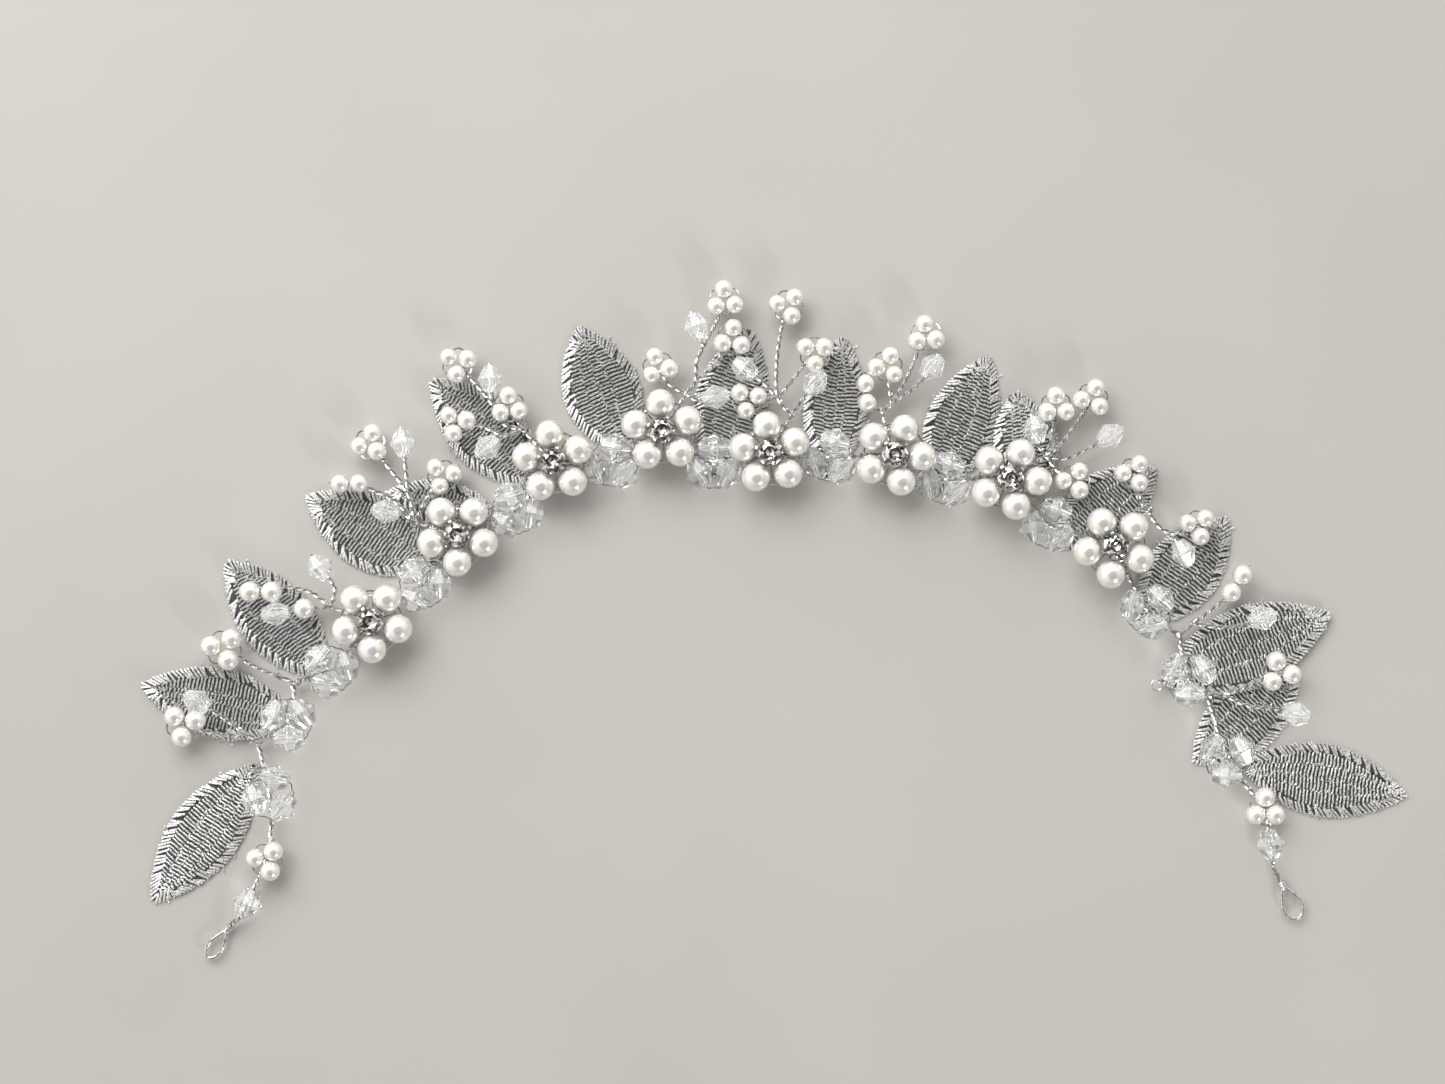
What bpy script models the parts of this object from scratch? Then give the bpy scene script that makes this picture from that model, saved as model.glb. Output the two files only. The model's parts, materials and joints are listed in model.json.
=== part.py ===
"""Bridal hair vine lying flat: embroidered leaves, pearl flowers, crystal clusters and wired
sprays carried on one twisted wire spine that bends between its flowers.

+Z is up out of the table, +Y points to the leaf tips at the crown, +X to the right-hand end.
Every length below is in millimetres and every angle in degrees."""

import math

import bmesh
import bpy
from mathutils import Matrix, Vector

MM = 0.001

# Beads
PEARL_RADIUS = 3.0
PEARL_RING_RADIUS = 5.85
SMALL_PEARL_RADIUS = 1.97
TRIO_RADIUS = 2.33
CRYSTAL_RADIUS = 2.85
CRYSTAL_HALF_LENGTH = 2.6
CRYSTAL_END_RADIUS = 1.3
CLUSTER_RADIUS = 3.6
SPRAY_CRYSTAL_RADIUS = 2.6
SPRAY_CRYSTAL_HALF_LENGTH = 2.45
SPRAY_CRYSTAL_END_RADIUS = 1.15
PAIR_HALF_GAP = 2.05
END_CRYSTAL_BORE = 0.78

# Wires, each drawn as the envelope of its two twisted strands
SPINE_WIRE_RADIUS = 0.45
STEM_WIRE_RADIUS = 0.38
RING_WIRE_RADIUS = 0.3
EYE_WIRE_RADIUS = 0.4
CLAW_WIRE_RADIUS = 0.32
HUB_RADIUS = 0.62
BEND_GAP = 0.35
STEM_GAP = 0.14

# Heights above the table
SPINE_Z = 2.6
CLUSTER_Z = 4.3
SPRAY_Z = 4.3
SPRAY_RISE_LENGTH = 8.0
FLOWER_Z = 6.5
END_Z = 3.4
KNEE_Z = 2.4
EYE_Z = 1.4

# Leaves
LEAF_THICKNESS = 0.5
LEAF_BORDER = 1.9
LEAF_RECESS = 0.15
UPPER_LEAF_Z = 0.9
LEAF_OUTLINE_STEPS = 9

# Rhinestone in its claw cup
CUP_BOTTOM_Z = 4.5
CUP_BASE_RADIUS = 1.3
CUP_RADIUS = 2.35
CUP_FLARE = 1.6
STONE_RADIUS = 2.6
STONE_POINT_RADIUS = 1.2
STONE_TABLE_RADIUS = 1.5
STONE_GIRDLE_Z = 8.0
STONE_TABLE_Z = 9.2
CLAW_FOOT_RADIUS = 2.2
CLAW_RADIUS = 2.62

# Pearl flowers from left to right: centre x, y and the direction of one pearl.
FLOWERS = [
    (-85.0, 0.0, -88),
    (-66.8, 18.4, -90),
    (-46.5, 33.8, 170),
    (-23.5, 40.3, 94),
    (-0.7, 35.6, 96),
    (25.7, 35.3, 68),
    (50.1, 30.2, 67),
    (72.3, 15.8, 46),
]

# Three-crystal clusters from left to right: centre x, y and the direction of one crystal.
CLUSTERS = [
    (-106.8, -37.0, 76),
    (-103.0, -21.5, 153),
    (-94.0, -10.4, 135),
    (-74.4, 7.7, 123),
    (-54.7, 23.4, 111),
    (-34.0, 33.5, 80),
    (-12.6, 33.1, 91),
    (12.2, 34.6, 75),
    (36.5, 29.9, 73),
    (58.9, 20.4, 68),
    (79.8, 2.3, 164),
    (88.4, -12.1, 150),
    (96.5, -29.0, 147),
]

# Places where the spine bends when the vine is wrapped, from the left end to the right end.
BENDS = [
    (-106.9, -44.0),
    (-109.1, -28.3),
    (-102.0, -15.5),
    (-90.4, -6.2),
    (-71.6, 11.7),
    (-51.6, 27.3),
    (-30.4, 35.8),
    (7.6, 35.0),
    (33.0, 31.6),
    (55.7, 24.0),
    (76.5, 8.2),
    (87.0, -5.5),
    (93.4, -18.3),
    (100.8, -34.9),
]

# Places where the outer sprays leave the bare spine between two clusters.
SPUR_LEFT_LOW = (-109.3, -25.6)
SPUR_LEFT_HIGH = (-101.7, -13.3)
SPUR_RIGHT_HIGH = (86.5, -3.2)
SPUR_RIGHT_LOW = (92.6, -15.6)

# Places each link's spine wire passes between its two bends, from left to right.
LINK_ORDER = {
    1: [CLUSTERS[0]],
    2: [SPUR_LEFT_LOW, CLUSTERS[1]],
    3: [SPUR_LEFT_HIGH, CLUSTERS[2]],
    4: [FLOWERS[0], CLUSTERS[3]],
    5: [FLOWERS[1], CLUSTERS[4]],
    6: [FLOWERS[2], CLUSTERS[5]],
    7: [FLOWERS[3], CLUSTERS[6], FLOWERS[4]],
    8: [CLUSTERS[7], FLOWERS[5]],
    9: [CLUSTERS[8], FLOWERS[6]],
    10: [CLUSTERS[9], FLOWERS[7]],
    11: [CLUSTERS[10], SPUR_RIGHT_HIGH],
    12: [CLUSTERS[11], SPUR_RIGHT_LOW],
    13: [CLUSTERS[12]],
}
# The link under each flower, and the link in the middle that all the others hang from.
FLOWER_LINKS = [4, 5, 6, 7, 7, 8, 9, 10]
MIDDLE_LINK = 7

# Leaves: the link each is bound to, base x, y, direction, length, width, underside height.
LEAVES = [
    (1, -110.1, -30.4, 233, 38.0, 15.5, 0.0),
    (2, -100.5, -21.9, 167, 36.0, 15.5, 0.0),
    (3, -95.0, -12.7, 131, 34.0, 16.0, 0.0),
    (4, -71.2, 10.7, 151, 33.0, 16.5, 0.0),
    (5, -48.9, 28.2, 136, 34.0, 16.0, 0.0),
    (6, -31.1, 34.2, 110, 31.0, 17.0, 0.0),
    (7, -13.0, 30.1, 76, 34.0, 16.0, 0.0),
    (8, 11.8, 29.5, 84, 32.0, 14.0, 0.0),
    (9, 34.2, 26.5, 68, 33.0, 15.5, 0.0),
    (9, 56.6, 26.4, 102, 23.6, 14.0, UPPER_LEAF_Z),
    (10, 60.3, 15.5, 38, 28.0, 15.5, 0.0),
    (11, 77.9, -1.5, 50, 31.0, 16.0, 0.0),
    (12, 82.5, -13.4, 22, 40.0, 18.0, UPPER_LEAF_Z),
    (13, 90.0, -30.7, 42, 31.0, 16.0, 0.0),
    (13, 99.6, -30.8, -10.6, 37.0, 16.0, 0.0),
]

# Sprays: the link that carries each, where its stub leaves the spine, the bend of its stem,
# and its branches as (bead group, turn of the group, points from the stem to the group).
SPRAYS = [
    (2, SPUR_LEFT_LOW, (-111.8, -24.4), [
        ("crystal", 0, [(-111.8, -24.4), (-116.0, -21.2), (-122.4, -17.1)]),
        ("trio", 20, [(-111.8, -24.4), (-115.0, -24.4), (-120.0, -23.6), (-125.2, -22.0)]),
    ]),
    (3, SPUR_LEFT_HIGH, (-104.3, -12.2), [
        ("trio", 50, [(-104.3, -12.2), (-110.5, -9.5), (-116.7, -5.8)]),
    ]),
    (4, FLOWERS[0], (-93.6, 2.8), [
        ("pair", 0, [(-93.6, 2.8), (-98.5, 6.2), (-104.0, 7.2), (-108.9, 6.2)]),
        ("pearl", 0, [(-93.6, 2.8), (-99.7, 2.6)]),
        ("crystal", 0, [(-99.7, 2.6), (-105.6, 1.6)]),
        ("crystal", 0, [(-93.6, 2.8), (-93.2, 7.0), (-96.2, 11.4)]),
    ]),
    (5, FLOWERS[1], (-75.6, 20.9), [
        ("pair", 2, [(-75.6, 20.9), (-80.5, 25.6), (-86.0, 28.2), (-90.0, 29.2)]),
        ("crystal", 0, [(-75.6, 20.9), (-78.5, 22.6), (-82.2, 23.3)]),
        ("trio", 75, [(-75.6, 20.9), (-77.5, 27.0), (-81.5, 32.5), (-85.7, 37.7)]),
        ("crystal", 0, [(-77.5, 27.0), (-78.0, 32.0), (-78.6, 37.8)]),
        ("trio", 12, [(-75.6, 20.9), (-73.4, 26.2), (-70.1, 30.9)]),
    ]),
    (6, FLOWERS[2], (-52.8, 40.3), [
        ("trio", 25, [(-52.8, 40.3), (-57.3, 42.0), (-59.8, 46.3), (-63.2, 50.5), (-67.0, 54.7)]),
        ("crystal", 0, [(-59.8, 46.3), (-60.0, 51.4)]),
        ("trio", 15, [(-52.8, 40.3), (-57.3, 39.6), (-62.0, 41.5), (-67.3, 42.1)]),
        ("crystal", 0, [(-57.3, 39.6), (-60.6, 36.9)]),
        ("trio", 95, [(-52.8, 40.3), (-54.4, 42.8), (-56.0, 45.6)]),
    ]),
    (7, FLOWERS[3], (-18.7, 47.9), [
        ("trio", 95, [(-18.7, 47.9), (-16.4, 51.0), (-16.2, 55.0), (-14.8, 58.3), (-12.0, 63.5),
                      (-10.2, 68.2)]),
        ("crystal", 0, [(-14.8, 58.3), (-16.2, 62.6)]),
        ("trio", 85, [(-16.4, 51.0), (-12.6, 54.4), (-8.6, 60.0)]),
        ("crystal", 0, [(-18.7, 47.9), (-15.6, 46.8), (-12.2, 47.6)]),
        ("trio", 110, [(-18.7, 47.9), (-22.0, 50.4), (-24.3, 54.0)]),
    ]),
    (7, FLOWERS[4], (3.8, 43.4), [
        ("trio", 50, [(3.8, 43.4), (1.2, 47.4), (0.8, 54.0), (1.6, 61.0), (3.2, 67.0)]),
        ("trio", 150, [(1.2, 47.4), (4.6, 51.8), (8.9, 57.0)]),
        ("crystal", 0, [(3.8, 43.4), (5.9, 46.6), (9.0, 50.6)]),
        ("trio", 20, [(1.2, 47.4), (-5.3, 47.0)]),
        ("crystal", 0, [(1.2, 47.4), (-2.3, 50.9), (-6.0, 53.6)]),
    ]),
    (8, FLOWERS[5], (23.5, 44.0), [
        ("trio", 95, [(23.5, 44.0), (25.3, 46.4), (28.2, 51.0), (30.6, 56.6), (32.5, 60.8)]),
        ("trio", 70, [(25.3, 46.4), (24.8, 50.0), (24.2, 54.2)]),
        ("crystal", 0, [(25.3, 46.4), (29.8, 49.4), (33.8, 54.0)]),
        ("pair", 95, [(23.5, 44.0), (21.4, 45.4), (19.9, 48.4)]),
    ]),
    (9, FLOWERS[6], (57.8, 34.8), [
        ("trio", 92, [(57.8, 34.8), (59.4, 39.2), (60.2, 45.6)]),
        ("trio", 70, [(57.8, 34.8), (61.8, 38.2), (65.5, 43.5), (67.9, 47.4)]),
        ("crystal", 0, [(57.8, 34.8), (62.5, 34.6), (67.3, 36.8), (71.6, 39.4)]),
        ("crystal", 0, [(57.8, 34.8), (56.6, 37.4), (55.8, 40.6)]),
        ("trio", 60, [(57.8, 34.8), (60.6, 32.0), (64.0, 29.8)]),
    ]),
    (10, FLOWERS[7], (79.7, 22.9), [
        ("trio", 60, [(79.7, 22.9), (77.6, 26.6), (76.7, 31.4)]),
        ("trio", 45, [(79.7, 22.9), (82.2, 20.0), (85.0, 18.8), (90.3, 20.2)]),
        ("crystal", 0, [(85.0, 18.8), (87.2, 14.4)]),
    ]),
    (11, SPUR_RIGHT_HIGH, (89.2, -0.9), [
        ("pair", 57, [(89.2, -0.9), (94.6, 3.4), (98.6, 7.9)]),
        ("crystal", 0, [(89.2, -0.9), (95.4, -1.4), (100.0, -0.8), (104.0, 0.6)]),
    ]),
    (12, SPUR_RIGHT_LOW, (95.6, -15.7), [
        ("trio", 110, [(95.6, -15.7), (99.8, -14.4), (104.2, -12.2), (107.8, -10.9)]),
        ("crystal", 0, [(95.6, -15.7), (101.1, -18.0), (106.8, -18.6), (111.2, -19.8)]),
    ]),
]

# Ends of the spine: trio centre, trio turn, end crystal centre, twist points and loop tip.
ENDS = {
    "left": (BENDS[0], (-107.8, -50.9), 50, (-111.8, -60.0), (-114.6, -64.0), (-116.7, -66.2),
             (-120.7, -72.0), 1.5),
    "right": (BENDS[13], (104.8, -40.0), 90, (105.9, -47.6), (107.0, -53.0), (109.2, -57.0),
              (112.4, -63.6), 2.1),
}


# ---------------------------------------------------------------- collections and materials

def new_collection(name, helpers=False):
    collection = bpy.data.collections.new(name)
    bpy.context.scene.collection.children.link(collection)
    collection.hide_render = helpers
    return collection


def material(name, colour, metallic, roughness, transmission=0.0, coat=0.0):
    made = bpy.data.materials.new(name)
    made.use_nodes = True
    shader = made.node_tree.nodes["Principled BSDF"]
    shader.inputs["Base Color"].default_value = (*colour, 1.0)
    shader.inputs["Metallic"].default_value = metallic
    shader.inputs["Roughness"].default_value = roughness
    shader.inputs["Transmission Weight"].default_value = transmission
    shader.inputs["Coat Weight"].default_value = coat
    made.diffuse_color = (*colour, 1.0)
    return made


# ---------------------------------------------------------------- solids

def helper(name, mesh, surface):
    """A solid that is only there to be fused into a named piece."""
    mesh.materials.append(surface)
    obj = bpy.data.objects.new(name, mesh)
    HELPERS.objects.link(obj)
    obj.hide_render = True
    obj.display_type = "WIRE"
    return obj


def mesh_from(name, bm, smooth):
    mesh = bpy.data.meshes.new(name)
    bmesh.ops.recalc_face_normals(bm, faces=bm.faces)
    bm.to_mesh(mesh)
    bm.free()
    for face in mesh.polygons:
        face.use_smooth = smooth
    return mesh


def pearl(name, centre, radius, segments, rings, surface):
    bm = bmesh.new()
    bmesh.ops.create_uvsphere(bm, u_segments=segments, v_segments=rings, radius=radius * MM)
    bmesh.ops.translate(bm, verts=bm.verts, vec=Vector(centre) * MM)
    return helper(name, mesh_from(name, bm, True), surface)


def turned(sections, sides, turn=0.0):
    """A faceted solid of revolution about Z from (radius, height) sections, capped at both ends."""
    bm = bmesh.new()
    rings = []
    for radius, height in sections:
        ring = []
        for step in range(sides):
            angle = math.radians(turn) + 2 * math.pi * step / sides
            spot = (radius * math.cos(angle), radius * math.sin(angle), height)
            ring.append(bm.verts.new(Vector(spot) * MM))
        rings.append(ring)
    for low, high in zip(rings, rings[1:]):
        for step in range(sides):
            after = (step + 1) % sides
            bm.faces.new((low[step], low[after], high[after], high[step]))
    bm.faces.new(rings[0][::-1])
    bm.faces.new(rings[-1])
    return bm


def bicone(name, centre, axis, radius, half_length, end_radius, surface):
    """A six-sided double cone crystal with a flat side underneath."""
    sections = [(end_radius, -half_length), (radius, 0.0), (end_radius, half_length)]
    bm = turned(sections, 6, 30)
    along = Vector(axis).normalized()
    across = Vector((0, 0, 1)).cross(along).normalized()
    third = along.cross(across)
    place = Matrix((third, across, along)).transposed().to_4x4()
    bmesh.ops.transform(bm, matrix=Matrix.Translation(Vector(centre) * MM) @ place, verts=bm.verts)
    return helper(name, mesh_from(name, bm, False), surface)


def wire(name, points, radius, surface, sides=6, closed=False):
    """A round wire through the points, made solid so that it can be fused."""
    curve = bpy.data.curves.new(name, "CURVE")
    curve.dimensions = "3D"
    curve.bevel_depth = radius * MM
    curve.bevel_resolution = (sides - 4) // 2
    curve.use_fill_caps = not closed
    spline = curve.splines.new("POLY")
    spline.points.add(len(points) - 1)
    for point, spot in zip(spline.points, points):
        point.co = (*(Vector(spot) * MM), 1.0)
    spline.use_cyclic_u = closed
    guide = bpy.data.objects.new(name + "_guide", curve)
    HELPERS.objects.link(guide)
    graph = bpy.context.evaluated_depsgraph_get()
    mesh = bpy.data.meshes.new_from_object(guide.evaluated_get(graph))
    bpy.data.objects.remove(guide)
    bm = bmesh.new()
    bm.from_mesh(mesh)
    bmesh.ops.remove_doubles(bm, verts=bm.verts, dist=1e-6)
    bmesh.ops.recalc_face_normals(bm, faces=bm.faces)
    bm.to_mesh(mesh)
    bm.free()
    mesh.materials.clear()
    return helper(name, mesh, surface)


# ---------------------------------------------------------------- named pieces

def spot_of(name):
    """Where a finished piece has its origin, in millimetres."""
    return ORIGINS[name]


def register(obj, origin, parent=None):
    """Puts the piece's origin at its joint and hangs it on the piece that carries it."""
    name = obj.name
    obj.data.transform(Matrix.Translation(-Vector(origin) * MM))
    ORIGINS[name] = Vector(origin)
    obj.location = Vector(origin) * MM
    if parent:
        obj.parent = bpy.data.objects[parent]
        obj.location = (Vector(origin) - spot_of(parent)) * MM
    return obj


def fused(name, pieces, origin, parent=None):
    """One closed solid from overlapping pieces: the first is the body, the rest are joined on."""
    body = pieces[0]
    HELPERS.objects.unlink(body)
    PARTS.objects.link(body)
    body.hide_render = False
    body.display_type = "TEXTURED"
    body.name = name
    group = bpy.data.collections.new(name + "_pieces")
    HELPERS.children.link(group)
    for piece in pieces[1:]:
        HELPERS.objects.unlink(piece)
        group.objects.link(piece)
        for surface in piece.data.materials:
            if surface.name not in body.data.materials:
                body.data.materials.append(surface)
    JOINS.append((body, group))
    return register(body, origin, parent)


def join(body, group):
    """Makes the body and every piece of its group one solid."""
    union = body.modifiers.new("join_pieces", "BOOLEAN")
    union.operation = "UNION"
    union.operand_type = "COLLECTION"
    union.collection = group
    union.solver = "EXACT"
    union.material_mode = "TRANSFER"


def around(centre, radius, count, turn, height):
    """Points spaced evenly round a centre, all at one height."""
    found = []
    for step in range(count):
        angle = math.radians(turn + 360.0 * step / count)
        x = centre[0] + radius * math.cos(angle)
        y = centre[1] + radius * math.sin(angle)
        found.append((x, y, height))
    return found


def cut_short(points, at_start, at_end):
    """The same path with its first and last lengths shortened by these amounts."""
    points = [Vector(point) for point in points]
    points[0] += (points[1] - points[0]).normalized() * at_start
    points[-1] += (points[-2] - points[-1]).normalized() * at_end
    return points


def trio_pieces(name, centre, turn):
    """Three small pearls threaded on a closed triangle of wire."""
    spots = around(centre, TRIO_RADIUS, 3, turn, centre[2])
    made = [
        pearl(f"{name}_pearl_{number}", spot, SMALL_PEARL_RADIUS, 6, 4, PEARL)
        for number, spot in enumerate(spots, 1)
    ]
    made.append(wire(f"{name}_thread", spots, RING_WIRE_RADIUS, WIRE, 4, closed=True))
    return made


# ---------------------------------------------------------------- sub-parts

def link_points(number):
    """Bend, waypoints, bend, in the order the wire runs from left to right."""
    left, right = BENDS[number - 1], BENDS[number]
    points = [Vector((*left, SPINE_Z))]
    for spot in LINK_ORDER[number]:
        height = CLUSTER_Z if spot in CLUSTERS else SPINE_Z
        points.append(Vector((spot[0], spot[1], height)))
    points.append(Vector((*right, SPINE_Z)))
    return cut_short(points, BEND_GAP, BEND_GAP)


def build_link(number):
    """One length of the spine with its three crystals and the stubs that its sprays bend on."""
    name = link_name(number)
    centre = CLUSTERS[number - 1]
    pieces = [wire(name + "_spine", link_points(number), SPINE_WIRE_RADIUS, WIRE)]
    spots = around(centre, CLUSTER_RADIUS, 3, centre[2], CLUSTER_Z)
    pieces.append(wire(name + "_thread", spots, RING_WIRE_RADIUS, WIRE, 4, closed=True))
    for place, spot in enumerate(spots, 1):
        out = Vector((spot[0] - centre[0], spot[1] - centre[1], 0))
        along = Vector((0, 0, 1)).cross(out)
        pieces.append(bicone(
            f"{name}_crystal_{place}", spot, along,
            CRYSTAL_RADIUS, CRYSTAL_HALF_LENGTH, CRYSTAL_END_RADIUS, CRYSTAL,
        ))
    for order, (carrier, root, bend, branches) in enumerate(SPRAYS, 1):
        if carrier == number:
            stub = [(root[0], root[1], SPINE_Z), (bend[0], bend[1], SPINE_Z)]
            stub = cut_short(stub, 0.0, BEND_GAP)
            pieces.append(wire(f"{name}_stub_{order}", stub, STEM_WIRE_RADIUS, WIRE))
    fused(name, pieces, link_joint(number), link_parent(number))


def link_name(number):
    return f"crystal_link_{number:02d}"


def link_joint(number):
    """The bend a link turns on; the middle link has its origin at its own cluster."""
    if number == MIDDLE_LINK:
        return (*CLUSTERS[number - 1][:2], SPINE_Z)
    bend = BENDS[number] if number < MIDDLE_LINK else BENDS[number - 1]
    return (*bend, SPINE_Z)


def link_parent(number):
    """The next link towards the middle, which carries this one."""
    if number == MIDDLE_LINK:
        return None
    return link_name(number + 1 if number < MIDDLE_LINK else number - 1)


def build_flower(number):
    """Five pearls threaded on a ring of wire."""
    name = f"pearl_flower_{number}"
    x, y, turn = FLOWERS[number - 1]
    spots = around((x, y), PEARL_RING_RADIUS, 5, turn, FLOWER_Z)
    pieces = [wire(name + "_ring", spots, RING_WIRE_RADIUS, WIRE, 4, closed=True)]
    for place, spot in enumerate(spots, 1):
        pieces.append(pearl(f"{name}_pearl_{place}", spot, PEARL_RADIUS, 8, 5, PEARL))
    fused(name, pieces, (x, y, FLOWER_Z), link_name(FLOWER_LINKS[number - 1]))


def build_rhinestone(number):
    """A faceted stone in a cup with four claws bent over its edge."""
    name = f"rhinestone_{number}"
    x, y, turn = FLOWERS[number - 1]
    cup = turned([
        (CUP_BASE_RADIUS, CUP_BOTTOM_Z), (CUP_RADIUS, CUP_BOTTOM_Z + CUP_FLARE),
        (CUP_RADIUS, STONE_GIRDLE_Z - 0.5),
    ], 8, turn)
    stone = turned([
        (STONE_POINT_RADIUS, STONE_GIRDLE_Z - 1.2), (STONE_RADIUS, STONE_GIRDLE_Z - 0.1),
        (STONE_RADIUS, STONE_GIRDLE_Z + 0.2), (STONE_TABLE_RADIUS, STONE_TABLE_Z),
    ], 8, turn + 22.5)
    pieces = []
    for label, bm, surface in (("cup", cup, WIRE), ("stone", stone, CRYSTAL)):
        bmesh.ops.translate(bm, verts=bm.verts, vec=Vector((x, y, 0)) * MM)
        pieces.append(helper(f"{name}_{label}", mesh_from(name, bm, False), surface))
    for claw, spot in enumerate(around((x, y), 1.0, 4, turn + 45, 0.0), 1):
        out = Vector((spot[0] - x, spot[1] - y, 0))
        path = [
            Vector((x, y, CUP_BOTTOM_Z + CUP_FLARE + 0.2)) + out * CLAW_FOOT_RADIUS,
            Vector((x, y, STONE_GIRDLE_Z + 0.3)) + out * CLAW_RADIUS,
            Vector((x, y, STONE_TABLE_Z)) + out * STONE_TABLE_RADIUS,
        ]
        pieces.append(wire(f"{name}_claw_{claw}", path, CLAW_WIRE_RADIUS, WIRE, 4))
    fused(name, pieces, (x, y, FLOWER_Z), link_name(FLOWER_LINKS[number - 1]))


def leaf_half_width(along, width):
    """Half the width of the pointed oval at a fraction of its length."""
    return 0.5 * width * math.sin(math.pi * along) ** 0.82


def leaf_outline(length, width, inset):
    """The pointed oval in its own frame, base at the origin, drawn inset from the full edge."""
    start, end = inset * 1.7, length - inset * 1.9
    steps = LEAF_OUTLINE_STEPS
    right, left = [], []
    for step in range(1, steps):
        along = start + (end - start) * step / steps
        half = leaf_half_width(along / length, width) - inset
        right.append((along, -max(half, 0.25)))
        left.append((along, max(half, 0.25)))
    return [(start, 0.0)] + right + [(end, 0.0)] + left[::-1]


def build_leaf(number):
    """A flat embroidered leaf: a full-height stitched border round a thinner middle."""
    link, x, y, direction, length, width, bottom = LEAVES[number - 1]
    name = f"leaf_{number:02d}"
    levels = [
        (0.0, 0.0), (0.0, LEAF_THICKNESS), (LEAF_BORDER * 0.85, LEAF_THICKNESS),
        (LEAF_BORDER, LEAF_THICKNESS - LEAF_RECESS),
    ]
    bm = bmesh.new()
    rings = []
    for inset, height in levels:
        outline = leaf_outline(length, width, inset)
        rings.append([bm.verts.new(Vector((px, py, height)) * MM) for px, py in outline])
    for low, high in zip(rings, rings[1:]):
        for step, vertex in enumerate(low):
            after = (step + 1) % len(low)
            bm.faces.new((vertex, low[after], high[after], high[step]))
    bm.faces.new(rings[0][::-1])
    bm.faces.new(rings[-1])
    turn = Matrix.Rotation(math.radians(direction), 4, "Z")
    shift = Matrix.Translation(Vector((x, y, bottom)) * MM)
    bmesh.ops.transform(bm, matrix=shift @ turn, verts=bm.verts)
    mesh = mesh_from(name, bm, False)
    mesh.materials.append(LACE)
    obj = bpy.data.objects.new(name, mesh)
    PARTS.objects.link(obj)
    register(obj, (x, y, bottom + LEAF_THICKNESS / 2), link_name(link))


def stem_height(bend, spot):
    """Stems climb from the spine's level to the beads' level as they leave their bend."""
    run = math.dist(bend, spot) / SPRAY_RISE_LENGTH
    return SPINE_Z + (SPRAY_Z - SPINE_Z) * min(1.0, run)


def branch_pieces(name, bend, kind, turn, path):
    """One stem with the bead group at its tip."""
    points = [Vector((*spot, stem_height(bend, spot))) for spot in path]
    tip = points[-1]
    tip.z = SPRAY_Z
    if path[0] == bend:
        points = cut_short(points, STEM_GAP, 0.0)
    if kind == "pair":
        aim = math.radians(turn)
        reach = Vector((math.cos(aim), math.sin(aim), 0)) * PAIR_HALF_GAP
        spots = [tip - reach, tip + reach]
        nearest, farthest = sorted(spots, key=lambda spot: (spot - points[-2]).length)
        points[-1:] = [nearest, farthest]
        made = [
            pearl(f"{name}_pearl_{place}", spot, SMALL_PEARL_RADIUS, 6, 4, PEARL)
            for place, spot in enumerate(spots, 1)
        ]
    elif kind == "trio":
        made = trio_pieces(name, tip, turn)
    elif kind == "pearl":
        made = [pearl(name + "_pearl", tip, SMALL_PEARL_RADIUS, 6, 4, PEARL)]
    else:
        along = tip - points[-2]
        along.z = 0
        made = [bicone(
            name + "_crystal", tip, along,
            SPRAY_CRYSTAL_RADIUS, SPRAY_CRYSTAL_HALF_LENGTH, SPRAY_CRYSTAL_END_RADIUS, CRYSTAL,
        )]
    return [wire(name + "_stem", points, STEM_WIRE_RADIUS, WIRE, 4)] + made


def build_spray(number):
    """Twisted stems with pearls and crystals that fan out from one bend."""
    link, root, bend, branches = SPRAYS[number - 1]
    name = f"spray_{number:02d}"
    out = (Vector(bend) - Vector(root[:2])).normalized()
    centre = Vector((*bend, SPINE_Z)) + Vector((out.x, out.y, 0)) * 2 * BEND_GAP
    pieces = [pearl(name + "_hub", centre, HUB_RADIUS, 6, 4, WIRE)]
    for place, (kind, turn, path) in enumerate(branches, 1):
        pieces += branch_pieces(f"{name}_{place}", bend, kind, turn, path)
    fused(name, pieces, (*bend, SPINE_Z), link_name(link))


def loop_points(base, tip, half_width):
    """A teardrop of wire from the end of the twist to the tip and back."""
    base, tip = Vector(base), Vector(tip)
    along = tip - base
    across = Vector((-along.y, along.x)).normalized() * half_width
    shape = [(0.0, 0.0), (0.25, 0.55), (0.6, 1.0), (0.88, 0.7), (1.0, 0.0),
             (0.88, -0.7), (0.6, -1.0), (0.25, -0.55)]
    return [(*(base + along * run + across * side), EYE_Z) for run, side in shape]


def build_end(side):
    """A wire end: bend, pearl trio, straight run for the loose crystal, twist and loop."""
    bend, trio, turn, crystal, knee, base, tip, half_width = ENDS[side]
    name = f"end_loop_{side}"
    run = (Vector(crystal) - Vector(trio)).normalized()
    past = Vector(crystal) + run * (CRYSTAL_HALF_LENGTH + 0.5)
    path = [(*bend, SPINE_Z), (*trio, END_Z), (*past, END_Z), (*knee, KNEE_Z), (*base, EYE_Z)]
    path = cut_short(path, BEND_GAP, 0.0)
    pieces = [wire(name + "_wire", path, SPINE_WIRE_RADIUS, WIRE)]
    eye = loop_points(base, tip, half_width)
    pieces.append(wire(name + "_eye", eye, EYE_WIRE_RADIUS, WIRE, closed=True))
    pieces += trio_pieces(name, (*trio, END_Z), turn)
    link = link_name(1 if side == "left" else 13)
    fused(name, pieces, (*bend, SPINE_Z), link)
    build_end_crystal(side, (*crystal, END_Z), (run.x, run.y, 0))


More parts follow.
